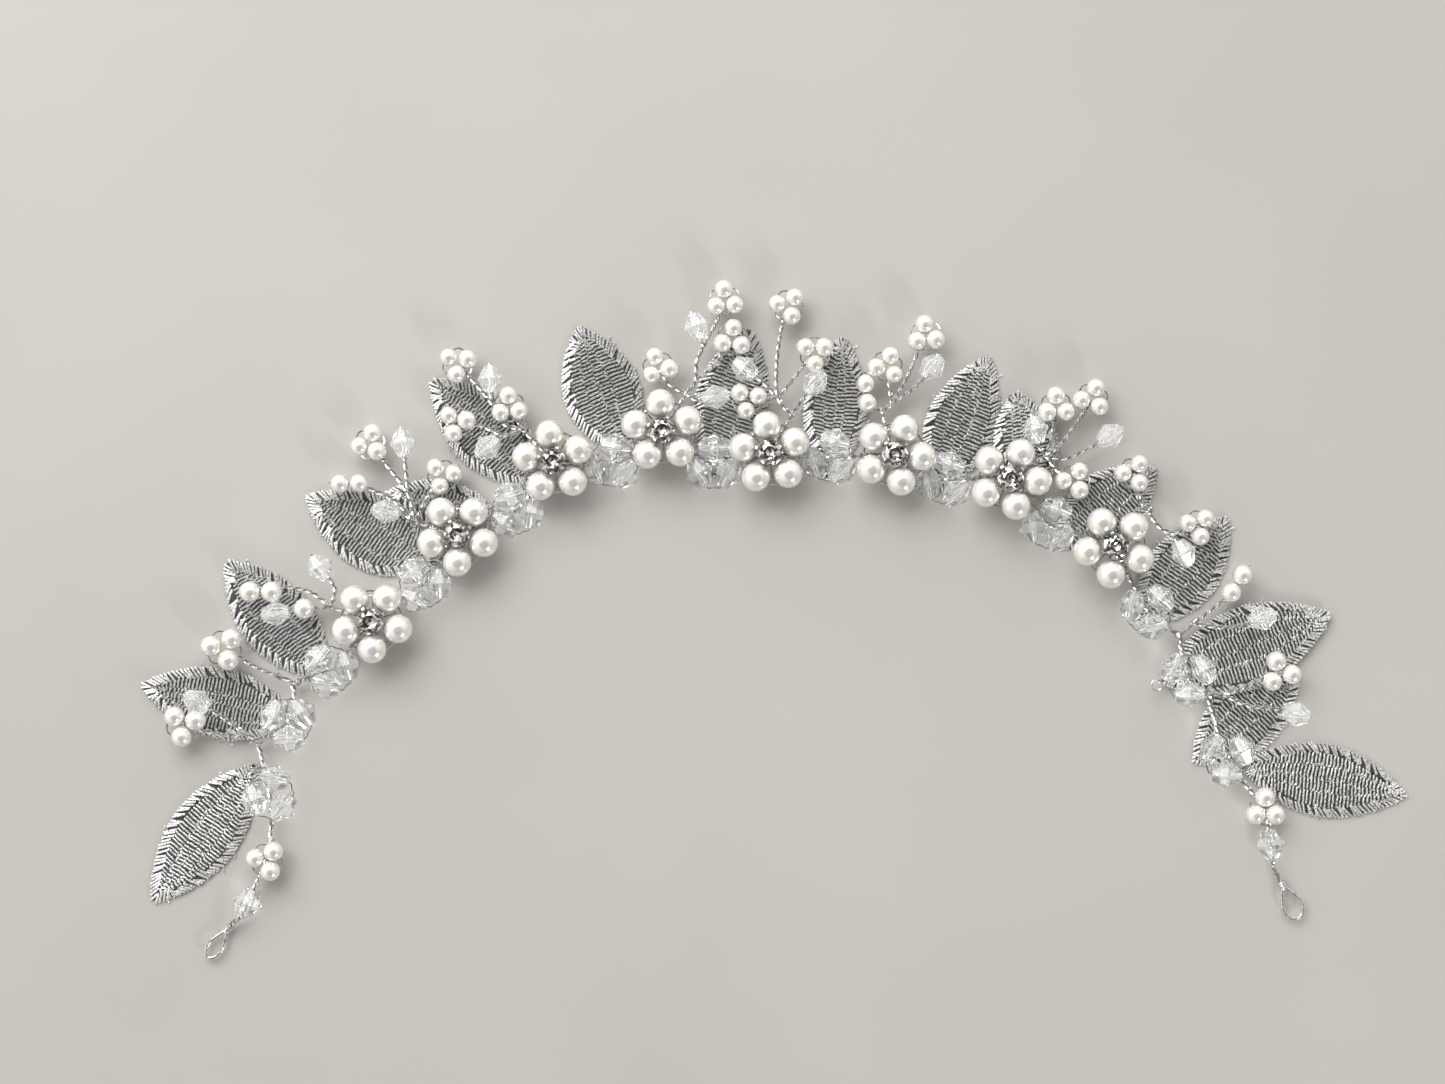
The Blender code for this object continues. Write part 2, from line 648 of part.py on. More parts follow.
def build_end_crystal(side, centre, along):
    """The crystal that turns freely on the wire through its drilled hole."""
    name = f"end_crystal_{side}"
    body = bicone(name, centre, along, CRYSTAL_RADIUS, CRYSTAL_HALF_LENGTH, CRYSTAL_END_RADIUS,
                  CRYSTAL)
    step = Vector(along) * (CRYSTAL_HALF_LENGTH + 1.0)
    ends = [Vector(centre) - step, Vector(centre) + step]
    drill = wire(name + "_drill", ends, END_CRYSTAL_BORE, WIRE, 8)
    HELPERS.objects.unlink(body)
    PARTS.objects.link(body)
    body.hide_render = False
    body.display_type = "TEXTURED"
    bore = body.modifiers.new("wire_hole", "BOOLEAN")
    bore.operation = "DIFFERENCE"
    bore.object = drill
    bore.solver = "EXACT"
    register(body, centre, f"end_loop_{side}")


for old in list(bpy.data.objects):
    bpy.data.objects.remove(old)

PARTS = new_collection("bridal_hair_vine")
HELPERS = new_collection("fused_pieces", helpers=True)
ORIGINS = {}
JOINS = []
PEARL = material("ivory_pearl", (0.86, 0.83, 0.76), 0.0, 0.22, coat=0.8)
CRYSTAL = material("clear_crystal", (0.93, 0.95, 0.97), 0.0, 0.03, transmission=0.9)
WIRE = material("silver_wire", (0.80, 0.80, 0.81), 1.0, 0.22)
LACE = material("silver_thread_lace", (0.45, 0.45, 0.46), 0.6, 0.45)

for link_number in (7, 6, 5, 4, 3, 2, 1, 8, 9, 10, 11, 12, 13):
    build_link(link_number)
for flower_number in range(1, 9):
    build_flower(flower_number)
    build_rhinestone(flower_number)
for leaf_number in range(1, 16):
    build_leaf(leaf_number)
for spray_number in range(1, 13):
    build_spray(spray_number)
for end_side in ("left", "right"):
    build_end(end_side)
for fused_body, fused_group in JOINS:
    join(fused_body, fused_group)
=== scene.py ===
"""Looks of a bridal hair vine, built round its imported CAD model.

Pearl flowers with claw-set stones, crystal clusters, bead sprays and lace leaves sit on one spine
of twisted silver wire. Every place comes from the frame: its joints and the shapes of its nodes.
Lengths below are in millimetres and angles in degrees, unless a name says otherwise."""

import json
import math

import bpy
import numpy as np
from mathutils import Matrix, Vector

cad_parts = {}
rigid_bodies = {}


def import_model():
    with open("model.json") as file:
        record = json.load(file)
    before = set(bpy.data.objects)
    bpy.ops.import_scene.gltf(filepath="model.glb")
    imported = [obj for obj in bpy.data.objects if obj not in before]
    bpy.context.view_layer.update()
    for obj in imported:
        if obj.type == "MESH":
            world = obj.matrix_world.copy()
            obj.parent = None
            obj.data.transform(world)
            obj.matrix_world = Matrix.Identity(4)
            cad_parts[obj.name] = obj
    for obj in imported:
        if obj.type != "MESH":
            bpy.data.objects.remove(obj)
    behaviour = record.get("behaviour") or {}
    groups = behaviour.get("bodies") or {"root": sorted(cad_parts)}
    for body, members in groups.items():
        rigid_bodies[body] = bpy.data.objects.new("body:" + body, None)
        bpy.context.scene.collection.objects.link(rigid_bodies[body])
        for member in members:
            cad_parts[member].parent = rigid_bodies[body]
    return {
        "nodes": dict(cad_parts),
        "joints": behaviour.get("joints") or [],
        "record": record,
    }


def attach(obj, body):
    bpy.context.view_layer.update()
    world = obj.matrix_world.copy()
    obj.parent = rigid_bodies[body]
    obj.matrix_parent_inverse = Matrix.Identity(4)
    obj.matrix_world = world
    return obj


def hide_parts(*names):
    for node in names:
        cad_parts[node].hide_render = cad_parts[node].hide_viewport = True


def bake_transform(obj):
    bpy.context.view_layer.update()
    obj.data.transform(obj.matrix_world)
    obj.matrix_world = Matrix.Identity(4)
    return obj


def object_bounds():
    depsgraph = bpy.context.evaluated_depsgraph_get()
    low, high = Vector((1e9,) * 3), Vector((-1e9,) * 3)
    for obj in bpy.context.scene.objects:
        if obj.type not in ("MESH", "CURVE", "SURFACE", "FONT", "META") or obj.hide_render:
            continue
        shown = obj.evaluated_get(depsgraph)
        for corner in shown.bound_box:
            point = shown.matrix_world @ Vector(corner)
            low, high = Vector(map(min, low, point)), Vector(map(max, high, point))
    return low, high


MM = 0.001
UP = np.array((0.0, 0.0, 1.0))

# Beads, within half a millimetre of the CAD beads they stand for
PEARL_TOP = 3.0
PEARL_RADIUS = 3.12
SMALL_PEARL_RADIUS = 2.02
LARGER_PEARLS = {1: 2.32, 2: 2.32, 3: 2.25, 11: 2.2, 12: 2.2}
END_PEARL_RADIUS = 2.15
TRIO_SPREAD = 1.15
PAIR_SPREAD = 1.02
PEARL_HOLE = 0.36
CRYSTAL_TOP = 2.85 * math.cos(math.radians(30))
CRYSTAL_RADIUS = 3.0
CRYSTAL_HALF_LENGTH = 3.1
CRYSTAL_END_RADIUS = 1.45
END_CRYSTAL_RADIUS = 3.15
SPRAY_CRYSTAL_RADIUS = 2.85
SPRAY_CRYSTAL_HALF_LENGTH = 2.85
SPRAY_CRYSTAL_END_RADIUS = 1.25
CRYSTAL_HOLE = 0.5
CRYSTAL_GIRDLE = 0.14
CRYSTAL_SIDES = 8
CLUSTER_RADIUS = 3.6

# Wires: the radius of one strand, and the length of one turn of a twisted pair
SPINE_STRAND = 0.27
EYE_STRAND = 0.36
STEM_STRAND = 0.23
THREAD_STRAND = 0.15
SPINE_PITCH = 4.4
STEM_PITCH = 3.9
WIRE_STEP = 0.22
LOOSENESS = 1.22
BEND_HALF_LENGTH = 1.8
ROOT_LIFT = 0.6
SPRAY_RISE = 1.7
SPRAY_RISE_LENGTH = 8.0

# Lace leaves
LEAF_FULLNESS = 0.82
BORDER_WIDTH = 2.5
BORDER_PITCH = 0.84
BORDER_THREAD = 0.285
BORDER_HEIGHT = 0.2
BORDER_LEAN = 0.75
FIELD_PITCH = 0.8
FIELD_THREAD = 0.23
FIELD_HEIGHT = 0.13
KNOT_THREAD = 0.17
KNOT_SHARE = 0.62
STRAY_THREAD = 0.09
TIE_HEIGHT = 1.4
TUCKED_HEIGHT = 0.9
TUCKED_LEAF = ((8.6, 4.4), (-16.2, 9.0), 10.0)
TUCKED_BEND = (3.9, 10.0)
TIE_INSETS = {"leaf_05": 4.0}
BACKING_THICKNESS = 0.08
LEAF_WAVE = 0.05

# Stone in its claw cup, as heights above the middle of the pearls
CUP_BOTTOM = -2.0
CUP_TOP = 1.0
CUP_RADIUS = 2.3
STONE_RADIUS = 2.85
STONE_GIRDLE = 1.75
STONE_TABLE = 2.8
CLAW_WIDTH = 1.15
CLAW_THICKNESS = 0.26

# Sprays: the branches of each, as bead group, turn of the group, and offsets from the place where
# the spray bends.
SPRAYS = {
    1: [
        ("crystal", 0, [(0, 0), (-4.2, 3.2), (-10.6, 7.3)]),
        ("trio", 20, [(0, 0), (-3.2, 0), (-8.2, 0.8), (-13.4, 2.4)]),
    ],
    2: [
        ("trio", 50, [(0, 0), (-6.2, 2.7), (-12.4, 6.4)]),
    ],
    3: [
        ("pair", 0, [(0, 0), (-4.9, 3.4), (-10.4, 4.4), (-15.3, 3.4)]),
        ("pearl", 0, [(0, 0), (-6.1, -0.2)]),
        ("crystal", 0, [(-6.1, -0.2), (-12, -1.2)]),
        ("crystal", 0, [(0, 0), (0.4, 4.2), (-2.6, 8.6)]),
    ],
    4: [
        ("pair", 2, [(0, 0), (-4.9, 4.7), (-10.4, 7.3), (-14.4, 8.3)]),
        ("crystal", 0, [(0, 0), (-2.9, 1.7), (-6.6, 2.4)]),
        ("trio", 75, [(0, 0), (-1.9, 6.1), (-5.9, 11.6), (-10.1, 16.8)]),
        ("crystal", 0, [(-1.9, 6.1), (-2.4, 11.1), (-3, 16.9)]),
        ("trio", 12, [(0, 0), (2.2, 5.3), (5.5, 10)]),
    ],
    5: [
        ("trio", 25, [(0, 0), (-4.5, 1.7), (-7, 6), (-10.4, 10.2), (-14.2, 14.4)]),
        ("crystal", 0, [(-7, 6), (-7.2, 11.1)]),
        ("trio", 15, [(0, 0), (-4.5, -0.7), (-9.2, 1.2), (-14.5, 1.8)]),
        ("crystal", 0, [(-4.5, -0.7), (-7.8, -3.4)]),
        ("trio", 95, [(0, 0), (-1.6, 2.5), (-3.2, 5.3)]),
    ],
    6: [
        ("trio", 95, [(0, 0), (2.3, 3.1), (2.5, 7.1), (3.9, 10.4), (6.7, 15.6), (8.5, 20.3)]),
        ("crystal", 0, [(3.9, 10.4), (2.5, 14.7)]),
        ("trio", 85, [(2.3, 3.1), (6.1, 6.5), (10.1, 12.1)]),
        ("crystal", 0, [(0, 0), (3.1, -1.1), (6.5, -0.3)]),
        ("trio", 110, [(0, 0), (-3.3, 2.5), (-5.6, 6.1)]),
    ],
    7: [
        ("trio", 50, [(0, 0), (-2.6, 4), (-3, 10.6), (-2.2, 17.6), (-0.6, 23.6)]),
        ("trio", 150, [(-2.6, 4), (0.8, 8.4), (5.1, 13.6)]),
        ("crystal", 0, [(0, 0), (2.1, 3.2), (5.2, 7.2)]),
        ("trio", 20, [(-2.6, 4), (-9.1, 3.6)]),
        ("crystal", 0, [(-2.6, 4), (-6.1, 7.5), (-9.8, 10.2)]),
    ],
    8: [
        ("trio", 95, [(0, 0), (1.8, 2.4), (4.7, 7), (7.1, 12.6), (9, 16.8)]),
        ("trio", 70, [(1.8, 2.4), (1.3, 6), (0.7, 10.2)]),
        ("crystal", 0, [(1.8, 2.4), (6.3, 5.4), (10.3, 10)]),
        ("pair", 95, [(0, 0), (-2.1, 1.4), (-3.6, 4.4)]),
    ],
    9: [
        ("trio", 92, [(0, 0), (1.6, 4.4), (2.4, 10.8)]),
        ("trio", 70, [(0, 0), (4, 3.4), (7.7, 8.7), (10.1, 12.6)]),
        ("crystal", 0, [(0, 0), (4.7, -0.2), (9.5, 2), (13.8, 4.6)]),
        ("crystal", 0, [(0, 0), (-1.2, 2.6), (-2, 5.8)]),
        ("trio", 60, [(0, 0), (2.8, -2.8), (6.2, -5)]),
    ],
    10: [
        ("trio", 60, [(0, 0), (-2.1, 3.7), (-3, 8.5)]),
        ("trio", 45, [(0, 0), (2.5, -2.9), (5.3, -4.1), (10.6, -2.7)]),
        ("crystal", 0, [(5.3, -4.1), (7.5, -8.5)]),
    ],
    11: [
        ("pair", 57, [(0, 0), (5.4, 4.3), (9.4, 8.8)]),
        ("crystal", 0, [(0, 0), (6.2, -0.5), (10.8, 0.1), (14.8, 1.5)]),
    ],
    12: [
        ("trio", 110, [(0, 0), (4.2, 1.3), (8.6, 3.5), (12.2, 4.8)]),
        ("crystal", 0, [(0, 0), (5.5, -2.3), (11.2, -2.9), (15.6, -4.1)]),
    ],
}
# Sprays that leave the bare spine between two clusters: where, from the place where they bend.
# The others leave it under the flower of their link.
SPURS = {1: (2.5, -1.2), 2: (2.6, -1.1), 11: (-2.7, -2.3), 12: (-3.0, 0.1)}
# The flower under which each of the other sprays leaves the spine
SPRAY_FLOWERS = {3: 1, 4: 2, 5: 3, 6: 4, 7: 5, 8: 6, 9: 7, 10: 8}

# Ends: offsets of the pearl trio from the bend and its turn, then offsets of the knee, base and
# tip of the eye from the loose crystal, and half the eye's width.
ENDS = {
    "left": ((-0.9, -6.9), 50, (-2.8, -4.0), (-4.9, -6.2), (-8.9, -12.0), 1.5),
    "right": ((4.0, -5.1), 90, (1.1, -5.4), (3.3, -9.4), (6.5, -16.0), 2.1),
}
# Loose curls of wire beside a cluster, as offsets from its centre
CURLS = {12: (-6.6, -1.6, -1.2)}
EYE_HEIGHT = 1.4
KNEE_HEIGHT = 2.4


# ------------------------------------------------------------------------- the frame

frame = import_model()
CAD_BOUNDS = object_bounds()
JOINTS = {joint["name"]: joint for joint in frame["joints"]}
GROUPS = frame["record"]["behaviour"]["bodies"]
BODY_OF = {node: body for body, nodes in GROUPS.items() for node in nodes}


def node_points(node):
    """The corners of a CAD node."""
    vertices = frame["nodes"][node].data.vertices
    places = np.empty(len(vertices) * 3, np.float32)
    vertices.foreach_get("co", places)
    return np.unique(np.round(places.reshape(-1, 3) / MM, 2), axis=0)


def joint_spot(name):
    return np.array(JOINTS[name]["pos_m"]) / MM


def highest(node):
    """The corners that share the top of a node."""
    points = node_points(node)
    return points[points[:, 2] > points[:, 2].max() - 0.05]


def bearing(points, centre, fold):
    """The direction in radians of a pattern that repeats fold times round its centre."""
    angles = np.arctan2(points[:, 1] - centre[1], points[:, 0] - centre[0])
    return np.angle(np.exp(1j * fold * angles).sum()) / fold


def cluster_of(number):
    """Centre and turn of three crystals, from the six edges that stand highest on their node."""
    top = highest(f"crystal_link_{number:02d}")
    centre = top.mean(axis=0)
    centre[2] -= CRYSTAL_TOP
    return centre, bearing(top, centre, 3)


def flower_of(number):
    """Middles of the five pearls of a flower, from their highest points."""
    tops = highest(f"pearl_flower_{number}")
    return tops - UP * PEARL_TOP


CLUSTERS = {number: cluster_of(number) for number in range(1, 14)}
FLOWERS = {number: flower_of(number) for number in range(1, 9)}


# ------------------------------------------------------------------------- shapes

def unit(vectors):
    return vectors / np.linalg.norm(vectors, axis=-1, keepdims=True)


def heading(angle):
    """The level direction at an angle in radians."""
    return np.array((math.cos(angle), math.sin(angle), 0.0))


def lengths(path):
    """Distance run along the path at each of its points."""
    steps = np.linalg.norm(np.diff(path, axis=0), axis=1)
    return np.concatenate([[0.0], np.cumsum(steps)])


def rounded(points, spacing=WIRE_STEP, closed=False):
    """Evenly spaced points on a smooth curve through the given ones."""
    points = np.asarray(points, float)
    if closed:
        knots = np.vstack([points[-1:], points, points[:2]])
    else:
        before = 2 * points[0] - points[1]
        after = 2 * points[-1] - points[-2]
        knots = np.vstack([before, points, after])
    t = np.linspace(0, 1, 12, endpoint=False)[:, None]
    runs = []
    for a, b, c, d in zip(knots, knots[1:], knots[2:], knots[3:]):
        square = (2 * a - 5 * b + 4 * c - d) * t ** 2
        cube = (3 * b - 3 * c + d - a) * t ** 3
        runs.append(0.5 * (2 * b + (c - a) * t + square + cube))
    curve = np.vstack(runs + [knots[-2:-1]])
    run = lengths(curve)
    count = max(int(round(run[-1] / spacing)), 3)
    even = np.linspace(0, run[-1], count + 1)
    made = np.stack([np.interp(even, run, curve[:, axis]) for axis in range(3)], axis=1)
    return made[:-1] if closed else made


def frames(paths, closed=False):
    """Unit vectors ahead, to the side and upward along level-ish paths."""
    if closed:
        ahead = np.roll(paths, -1, axis=-2) - np.roll(paths, 1, axis=-2)
    else:
        ahead = np.gradient(paths, axis=-2)
    ahead = unit(ahead)
    side = unit(np.cross(ahead, UP) + 1e-9)
    return ahead, side, np.cross(side, ahead)


def twisted(path, strand, pitch, count=2, start=0.0):
    """The paths of strands wound round one another along a path."""
    _, side, up = frames(path)
    turns = 2 * math.pi * lengths(path) / pitch + start
    made = []
    for number in range(count):
        angle = (turns + 2 * math.pi * number / count)[:, None]
        made.append(path + strand * (np.cos(angle) * side + np.sin(angle) * up))
    return np.stack(made)


def tubes(paths, radius, sides=6, closed=False):
    """Round tubes along paths that all have the same number of points."""
    paths = np.asarray(paths, float)
    if paths.ndim == 2:
        paths = paths[None]
    count, steps = paths.shape[:2]
    _, side, up = frames(paths, closed)
    angle = 2 * np.pi * np.arange(sides) / sides
    across = np.cos(angle)[:, None] * side[:, :, None]
    rise = np.sin(angle)[:, None] * up[:, :, None]
    radius = np.broadcast_to(radius, (count, steps))[:, :, None, None]
    points = paths[:, :, None] + radius * (across + rise)
    spot = np.arange(count * steps * sides).reshape(count, steps, sides)
    if closed:
        low, high = spot, np.roll(spot, -1, axis=1)
    else:
        low, high = spot[:, :-1], spot[:, 1:]
    quads = np.stack([low, high, np.roll(high, -1, axis=2), np.roll(low, -1, axis=2)], axis=-1)
    faces = quads.reshape(-1, 4).tolist()
    if not closed:
        faces += spot[:, 0].tolist() + spot[:, -1, ::-1].tolist()
    return points.reshape(-1, 3), faces


def turned(profile, sides, centre, axis, spin=0.0):
    """A solid of revolution: a closed loop of (radius, height) about an axis through a centre."""
    radius, height = np.asarray(profile, float).T
    angle = 2 * np.pi * np.arange(sides) / sides + spin
    ahead = unit(np.asarray(axis, float))
    side = unit(np.cross(ahead, UP)) if abs(ahead[2]) < 0.999 else np.array((1.0, 0.0, 0.0))
    third = np.cross(ahead, side)
    points = (
        np.asarray(centre, float)
        + radius[:, None, None] * np.cos(angle)[None, :, None] * side
        + radius[:, None, None] * np.sin(angle)[None, :, None] * third
        + height[:, None, None] * ahead
    )
    spot = np.arange(len(radius) * sides).reshape(len(radius), sides)
    high = np.roll(spot, -1, axis=0)
    quads = np.stack([spot, np.roll(spot, -1, axis=1), np.roll(high, -1, axis=1), high], axis=-1)
    return points.reshape(-1, 3), quads.reshape(-1, 4).tolist()


def pearl(centre, axis, radius, sides=28):
    """A pearl drilled along its axis, with the hole's rim slightly sunk."""
    limit = math.acos(PEARL_HOLE * 1.5 / radius)
    arc = np.linspace(-limit, limit, sides // 2)
    profile = [(radius * math.cos(a), radius * math.sin(a)) for a in arc]
    lip = radius * math.sin(limit)
    profile += [(PEARL_HOLE, lip - 0.12), (PEARL_HOLE, -lip + 0.12)]
    return turned(profile, sides, centre, axis)


def bicone(centre, axis, radius, half_length, end_radius, spin=0.0):
    """A drilled double cone, cut with flat facets."""
    profile = [
        (end_radius, -half_length), (radius, -CRYSTAL_GIRDLE), (radius, CRYSTAL_GIRDLE),
        (end_radius, half_length), (CRYSTAL_HOLE, half_length - 0.1),
        (CRYSTAL_HOLE, -half_length + 0.1),
    ]
    return turned(profile, CRYSTAL_SIDES, centre, axis, spin)


class Shape:
    """Gathers solids and turns them into one named piece."""

    def __init__(self):
        self.points = []
        self.faces = []
        self.count = 0

    def add(self, solid):
        points, faces = solid
        self.points.append(points)
        self.faces += [[corner + self.count for corner in face] for face in faces]
        self.count += len(points)
        return self

    def wire(self, path, strand, pitch, start=0.0):
        """A twisted pair along the path."""
        return self.add(tubes(twisted(path, strand * LOOSENESS, pitch, start=start), strand))

    def object(self, name, material, smooth):
        mesh = bpy.data.meshes.new(name)
        mesh.from_pydata((np.vstack(self.points) * MM).tolist(), [], self.faces)
        mesh.polygons.foreach_set("use_smooth", [smooth] * len(mesh.polygons))
        if smooth:
            mesh.set_sharp_from_angle(angle=math.radians(50))
        mesh.materials.append(material)
        obj = bpy.data.objects.new(name, mesh)
        bpy.context.scene.collection.objects.link(obj)
        return obj


def piece(name, shape, material, node, smooth=True):
    """A finished piece that stands for a CAD node and moves with its body."""
    obj = shape.object(name, material, smooth)
    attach(obj, BODY_OF[node])
    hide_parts(node)
    return obj


def bridge(name, shape, material, slot, bodies, start, end):
    """A finished piece fixed in the frame where it is made; it is not attached to any body."""
    obj = shape.object(name, material, True)
    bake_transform(obj)
    return obj


# ------------------------------------------------------------------------- materials

class Surface:
    """A node material with small helpers for its patterns."""

    def __init__(self, name):
        self.material = bpy.data.materials.new(name)
        self.material.use_nodes = True
        self.tree = self.material.node_tree
        self.shader = self.tree.nodes["Principled BSDF"]
        self.place = self.tree.nodes.new("ShaderNodeTexCoord").outputs["Object"]

    def set(self, **values):
        for name, value in values.items():
            self.shader.inputs[name.replace("_", " ")].default_value = value
        return self

    def link(self, output, name):
        self.tree.links.new(output, self.shader.inputs[name])

    def noise(self, size, detail=2.0, roughness=0.5):
        """Noise with blotches about size millimetres across."""
        node = self.tree.nodes.new("ShaderNodeTexNoise")
        node.inputs["Scale"].default_value = 1.0 / (size * MM)
        node.inputs["Detail"].default_value = detail
        node.inputs["Roughness"].default_value = roughness
        self.tree.links.new(self.place, node.inputs["Vector"])
        return node.outputs["Fac"]

    def ramp(self, factor, *stops):
        """Colours or greys along a factor; each stop is (position, colour)."""
        node = self.tree.nodes.new("ShaderNodeValToRGB")
        elements = node.color_ramp.elements
        while len(elements) < len(stops):
            elements.new(0.5)
        for element, (position, colour) in zip(elements, stops):
            element.position = position
            grey = (colour,) * 3 if isinstance(colour, float) else colour
            element.color = (*grey, 1.0)
        self.tree.links.new(factor, node.inputs["Fac"])
        return node.outputs["Color"]

    def mix(self, factor, first, second, how="MIX"):
        """Two colours mixed; the factor is a number or another node's output."""
        node = self.tree.nodes.new("ShaderNodeMix")
        node.data_type = "RGBA"
        node.blend_type = how
        self.tree.links.new(first, node.inputs[6])
        self.tree.links.new(second, node.inputs[7])
        if isinstance(factor, float):
            node.inputs[0].default_value = factor
        else:
            self.tree.links.new(factor, node.inputs[0])
        return node.outputs[2]

    def see_through(self, share):
        """Lets a share of what lies behind show, and lets all light past."""
        path = self.tree.nodes.new("ShaderNodeLightPath")
        most = self.tree.nodes.new("ShaderNodeMath")
        most.operation = "MAXIMUM"
        most.inputs[1].default_value = share
        clear = self.tree.nodes.new("ShaderNodeBsdfTransparent")
        blend = self.tree.nodes.new("ShaderNodeMixShader")
        out = self.tree.nodes["Material Output"]
        self.tree.links.new(path.outputs["Is Shadow Ray"], most.inputs[0])
        self.tree.links.new(most.outputs[0], blend.inputs[0])
        self.tree.links.new(self.shader.outputs[0], blend.inputs[1])
        self.tree.links.new(clear.outputs[0], blend.inputs[2])
        self.tree.links.new(blend.outputs[0], out.inputs["Surface"])

    def facing(self, blend=0.5):
        node = self.tree.nodes.new("ShaderNodeLayerWeight")
        node.inputs["Blend"].default_value = blend
        return node.outputs["Facing"]

    def bump(self, height, depth, strength=1.0):
        node = self.tree.nodes.new("ShaderNodeBump")
        node.inputs["Strength"].default_value = strength
        node.inputs["Distance"].default_value = depth * MM
        self.tree.links.new(height, node.inputs["Height"])
        self.link(node.outputs["Normal"], "Normal")


def pearl_material():
    """Nacre lacquer: an ivory body under a mirror-like skin, with painted shade toward the rim,
    where the colour turns darker and warmer.
    """
    made = Surface("ivory_pearl")
    made.set(Metallic=0.54, Coat_Weight=1.0, Coat_Roughness=0.05, Specular_IOR_Level=0.7)
    body = made.ramp(made.noise(2.6), (0.3, (0.95, 0.93, 0.88)), (0.7, (0.975, 0.965, 0.94)))
    # painted shade: a darker, warmer colour mixed in toward the rim as the surface turns away from
    # view
    rim = made.ramp(made.noise(4.0), (0.3, (0.80, 0.73, 0.60)), (0.7, (0.86, 0.82, 0.72)))
    edge = made.ramp(made.facing(0.35), (0.3, 0.0), (0.95, 1.0))
    made.link(made.mix(edge, body, rim), "Base Color")
    made.link(made.ramp(made.noise(0.9, 4.0), (0.3, 0.16), (0.8, 0.28)), "Roughness")
    made.bump(made.noise(0.8, 3.0), 0.014)
    return made.material


def crystal_material(name, clarity):
    """Clear cut glass that lets light through to what lies below."""
    made = Surface(name)
    made.set(IOR=1.62, Transmission_Weight=clarity)
    haze = made.ramp(made.noise(1.6, 2.0), (0.3, (0.96, 0.97, 0.98)), (0.7, (1.0, 1.0, 1.0)))
    made.link(haze, "Base Color")
    made.link(made.ramp(made.noise(0.5, 5.0), (0.5, 0.0), (0.95, 0.03)), "Roughness")
    made.see_through(0.0)
    return made.material


def wire_material(name, dark, bright):
    """Drawn silver wire with fine dull streaks."""
    made = Surface(name)
    made.set(Metallic=0.88, Specular_IOR_Level=1.0)
    colour = made.ramp(made.noise(0.8, 4.0), (0.3, dark), (0.65, bright))
    made.link(colour, "Base Color")
    made.link(made.ramp(made.noise(0.35, 3.0), (0.3, 0.1), (0.8, 0.3)), "Roughness")
    made.bump(made.noise(0.25, 2.0), 0.02)
    return made.material


def lurex_material(name, dark, bright):
    """Metallic film wound round a core, with painted sparkle: bright flecks painted as glints beside
    dull ones.
    """
    made = Surface(name)
    made.set(Metallic=0.5, Specular_IOR_Level=0.9)
    # painted sparkle: random flecks from dark to bright in the base colour stand for glints along
    # the thread
    painted_sparkle = made.ramp(made.noise(0.34, 2.0, 0.7), (0.37, dark), (0.53, bright))
    tone = made.ramp(made.noise(3.0, 3.0), (0.3, 0.8), (0.75, 1.0))
    made.link(made.mix(1.0, painted_sparkle, tone, "MULTIPLY"), "Base Color")
    made.link(made.ramp(made.noise(0.3, 2.0), (0.3, 0.26), (0.7, 0.5)), "Roughness")
    made.bump(made.noise(0.2, 2.0), 0.06)
    return made.material


def stone_material():
    """A foiled stone: mirror facets with painted reflections, patches from near black to near white
    in the base colour.
    """
    made = Surface("foiled_stone")
    made.set(Metallic=1.0, Coat_Weight=1.0, Coat_Roughness=0.02)
    # painted reflections: dark and bright patches in the base colour stand for what the facets
    # mirror
    made.link(made.ramp(made.noise(0.9), (0.42, (0.08, 0.077, 0.07)), (0.58, (0.86, 0.85, 0.82))),
              "Base Color")
    made.link(made.ramp(made.noise(0.4), (0.4, 0.02), (0.8, 0.08)), "Roughness")
    made.bump(made.noise(0.7, 1.0), 0.05)
    return made.material


PEARL = pearl_material()
CRYSTAL = crystal_material("clear_crystal", 0.92)
BRIGHT_CRYSTAL = crystal_material("bright_crystal", 0.82)
WIRE = wire_material("silver_wire", (0.42, 0.42, 0.42), (0.97, 0.97, 0.96))
CLAW = wire_material("claw_metal", (0.16, 0.16, 0.15), (0.72, 0.72, 0.7))
BORDER_LUREX = lurex_material("border_lurex", 0.17, 1.0)
FIELD_LUREX = lurex_material("field_lurex", 0.2, 0.97)
# painted shade: the backing net is coloured near black to stand for the shade in the gaps between
# stitches
SHADED_BACKING = lurex_material("painted_shade_backing", 0.02, 0.14)
STONE = stone_material()


# ------------------------------------------------------------------------- spine and ends

def between(low, high):
    """Waypoints of the spine between two bends, in the order they come."""
    body = f"link_{low:02d}" if low != 7 else "crown"
    spots = []
    for node in GROUPS[body]:
        kind, _, number = node.rpartition("_")
        if kind == "crystal_link":
            spots.append(CLUSTERS[int(number)][0])
        if kind == "pearl_flower":
            middle = FLOWERS[int(number)].mean(axis=0)
            middle[2] = joint_spot("bend_01")[2]
            spots.append(middle)
    for spray, offset in SPURS.items():
        joint = JOINTS[f"spray_{spray:02d}_lift"]
        if joint["parent"] == body:
            spots.append(joint_spot(joint["name"]) + (*offset, 0.0))
    start, end = joint_spot(f"bend_{low:02d}"), joint_spot(f"bend_{high:02d}")
    return sorted(spots, key=lambda spot: float((spot - start) @ (end - start)))


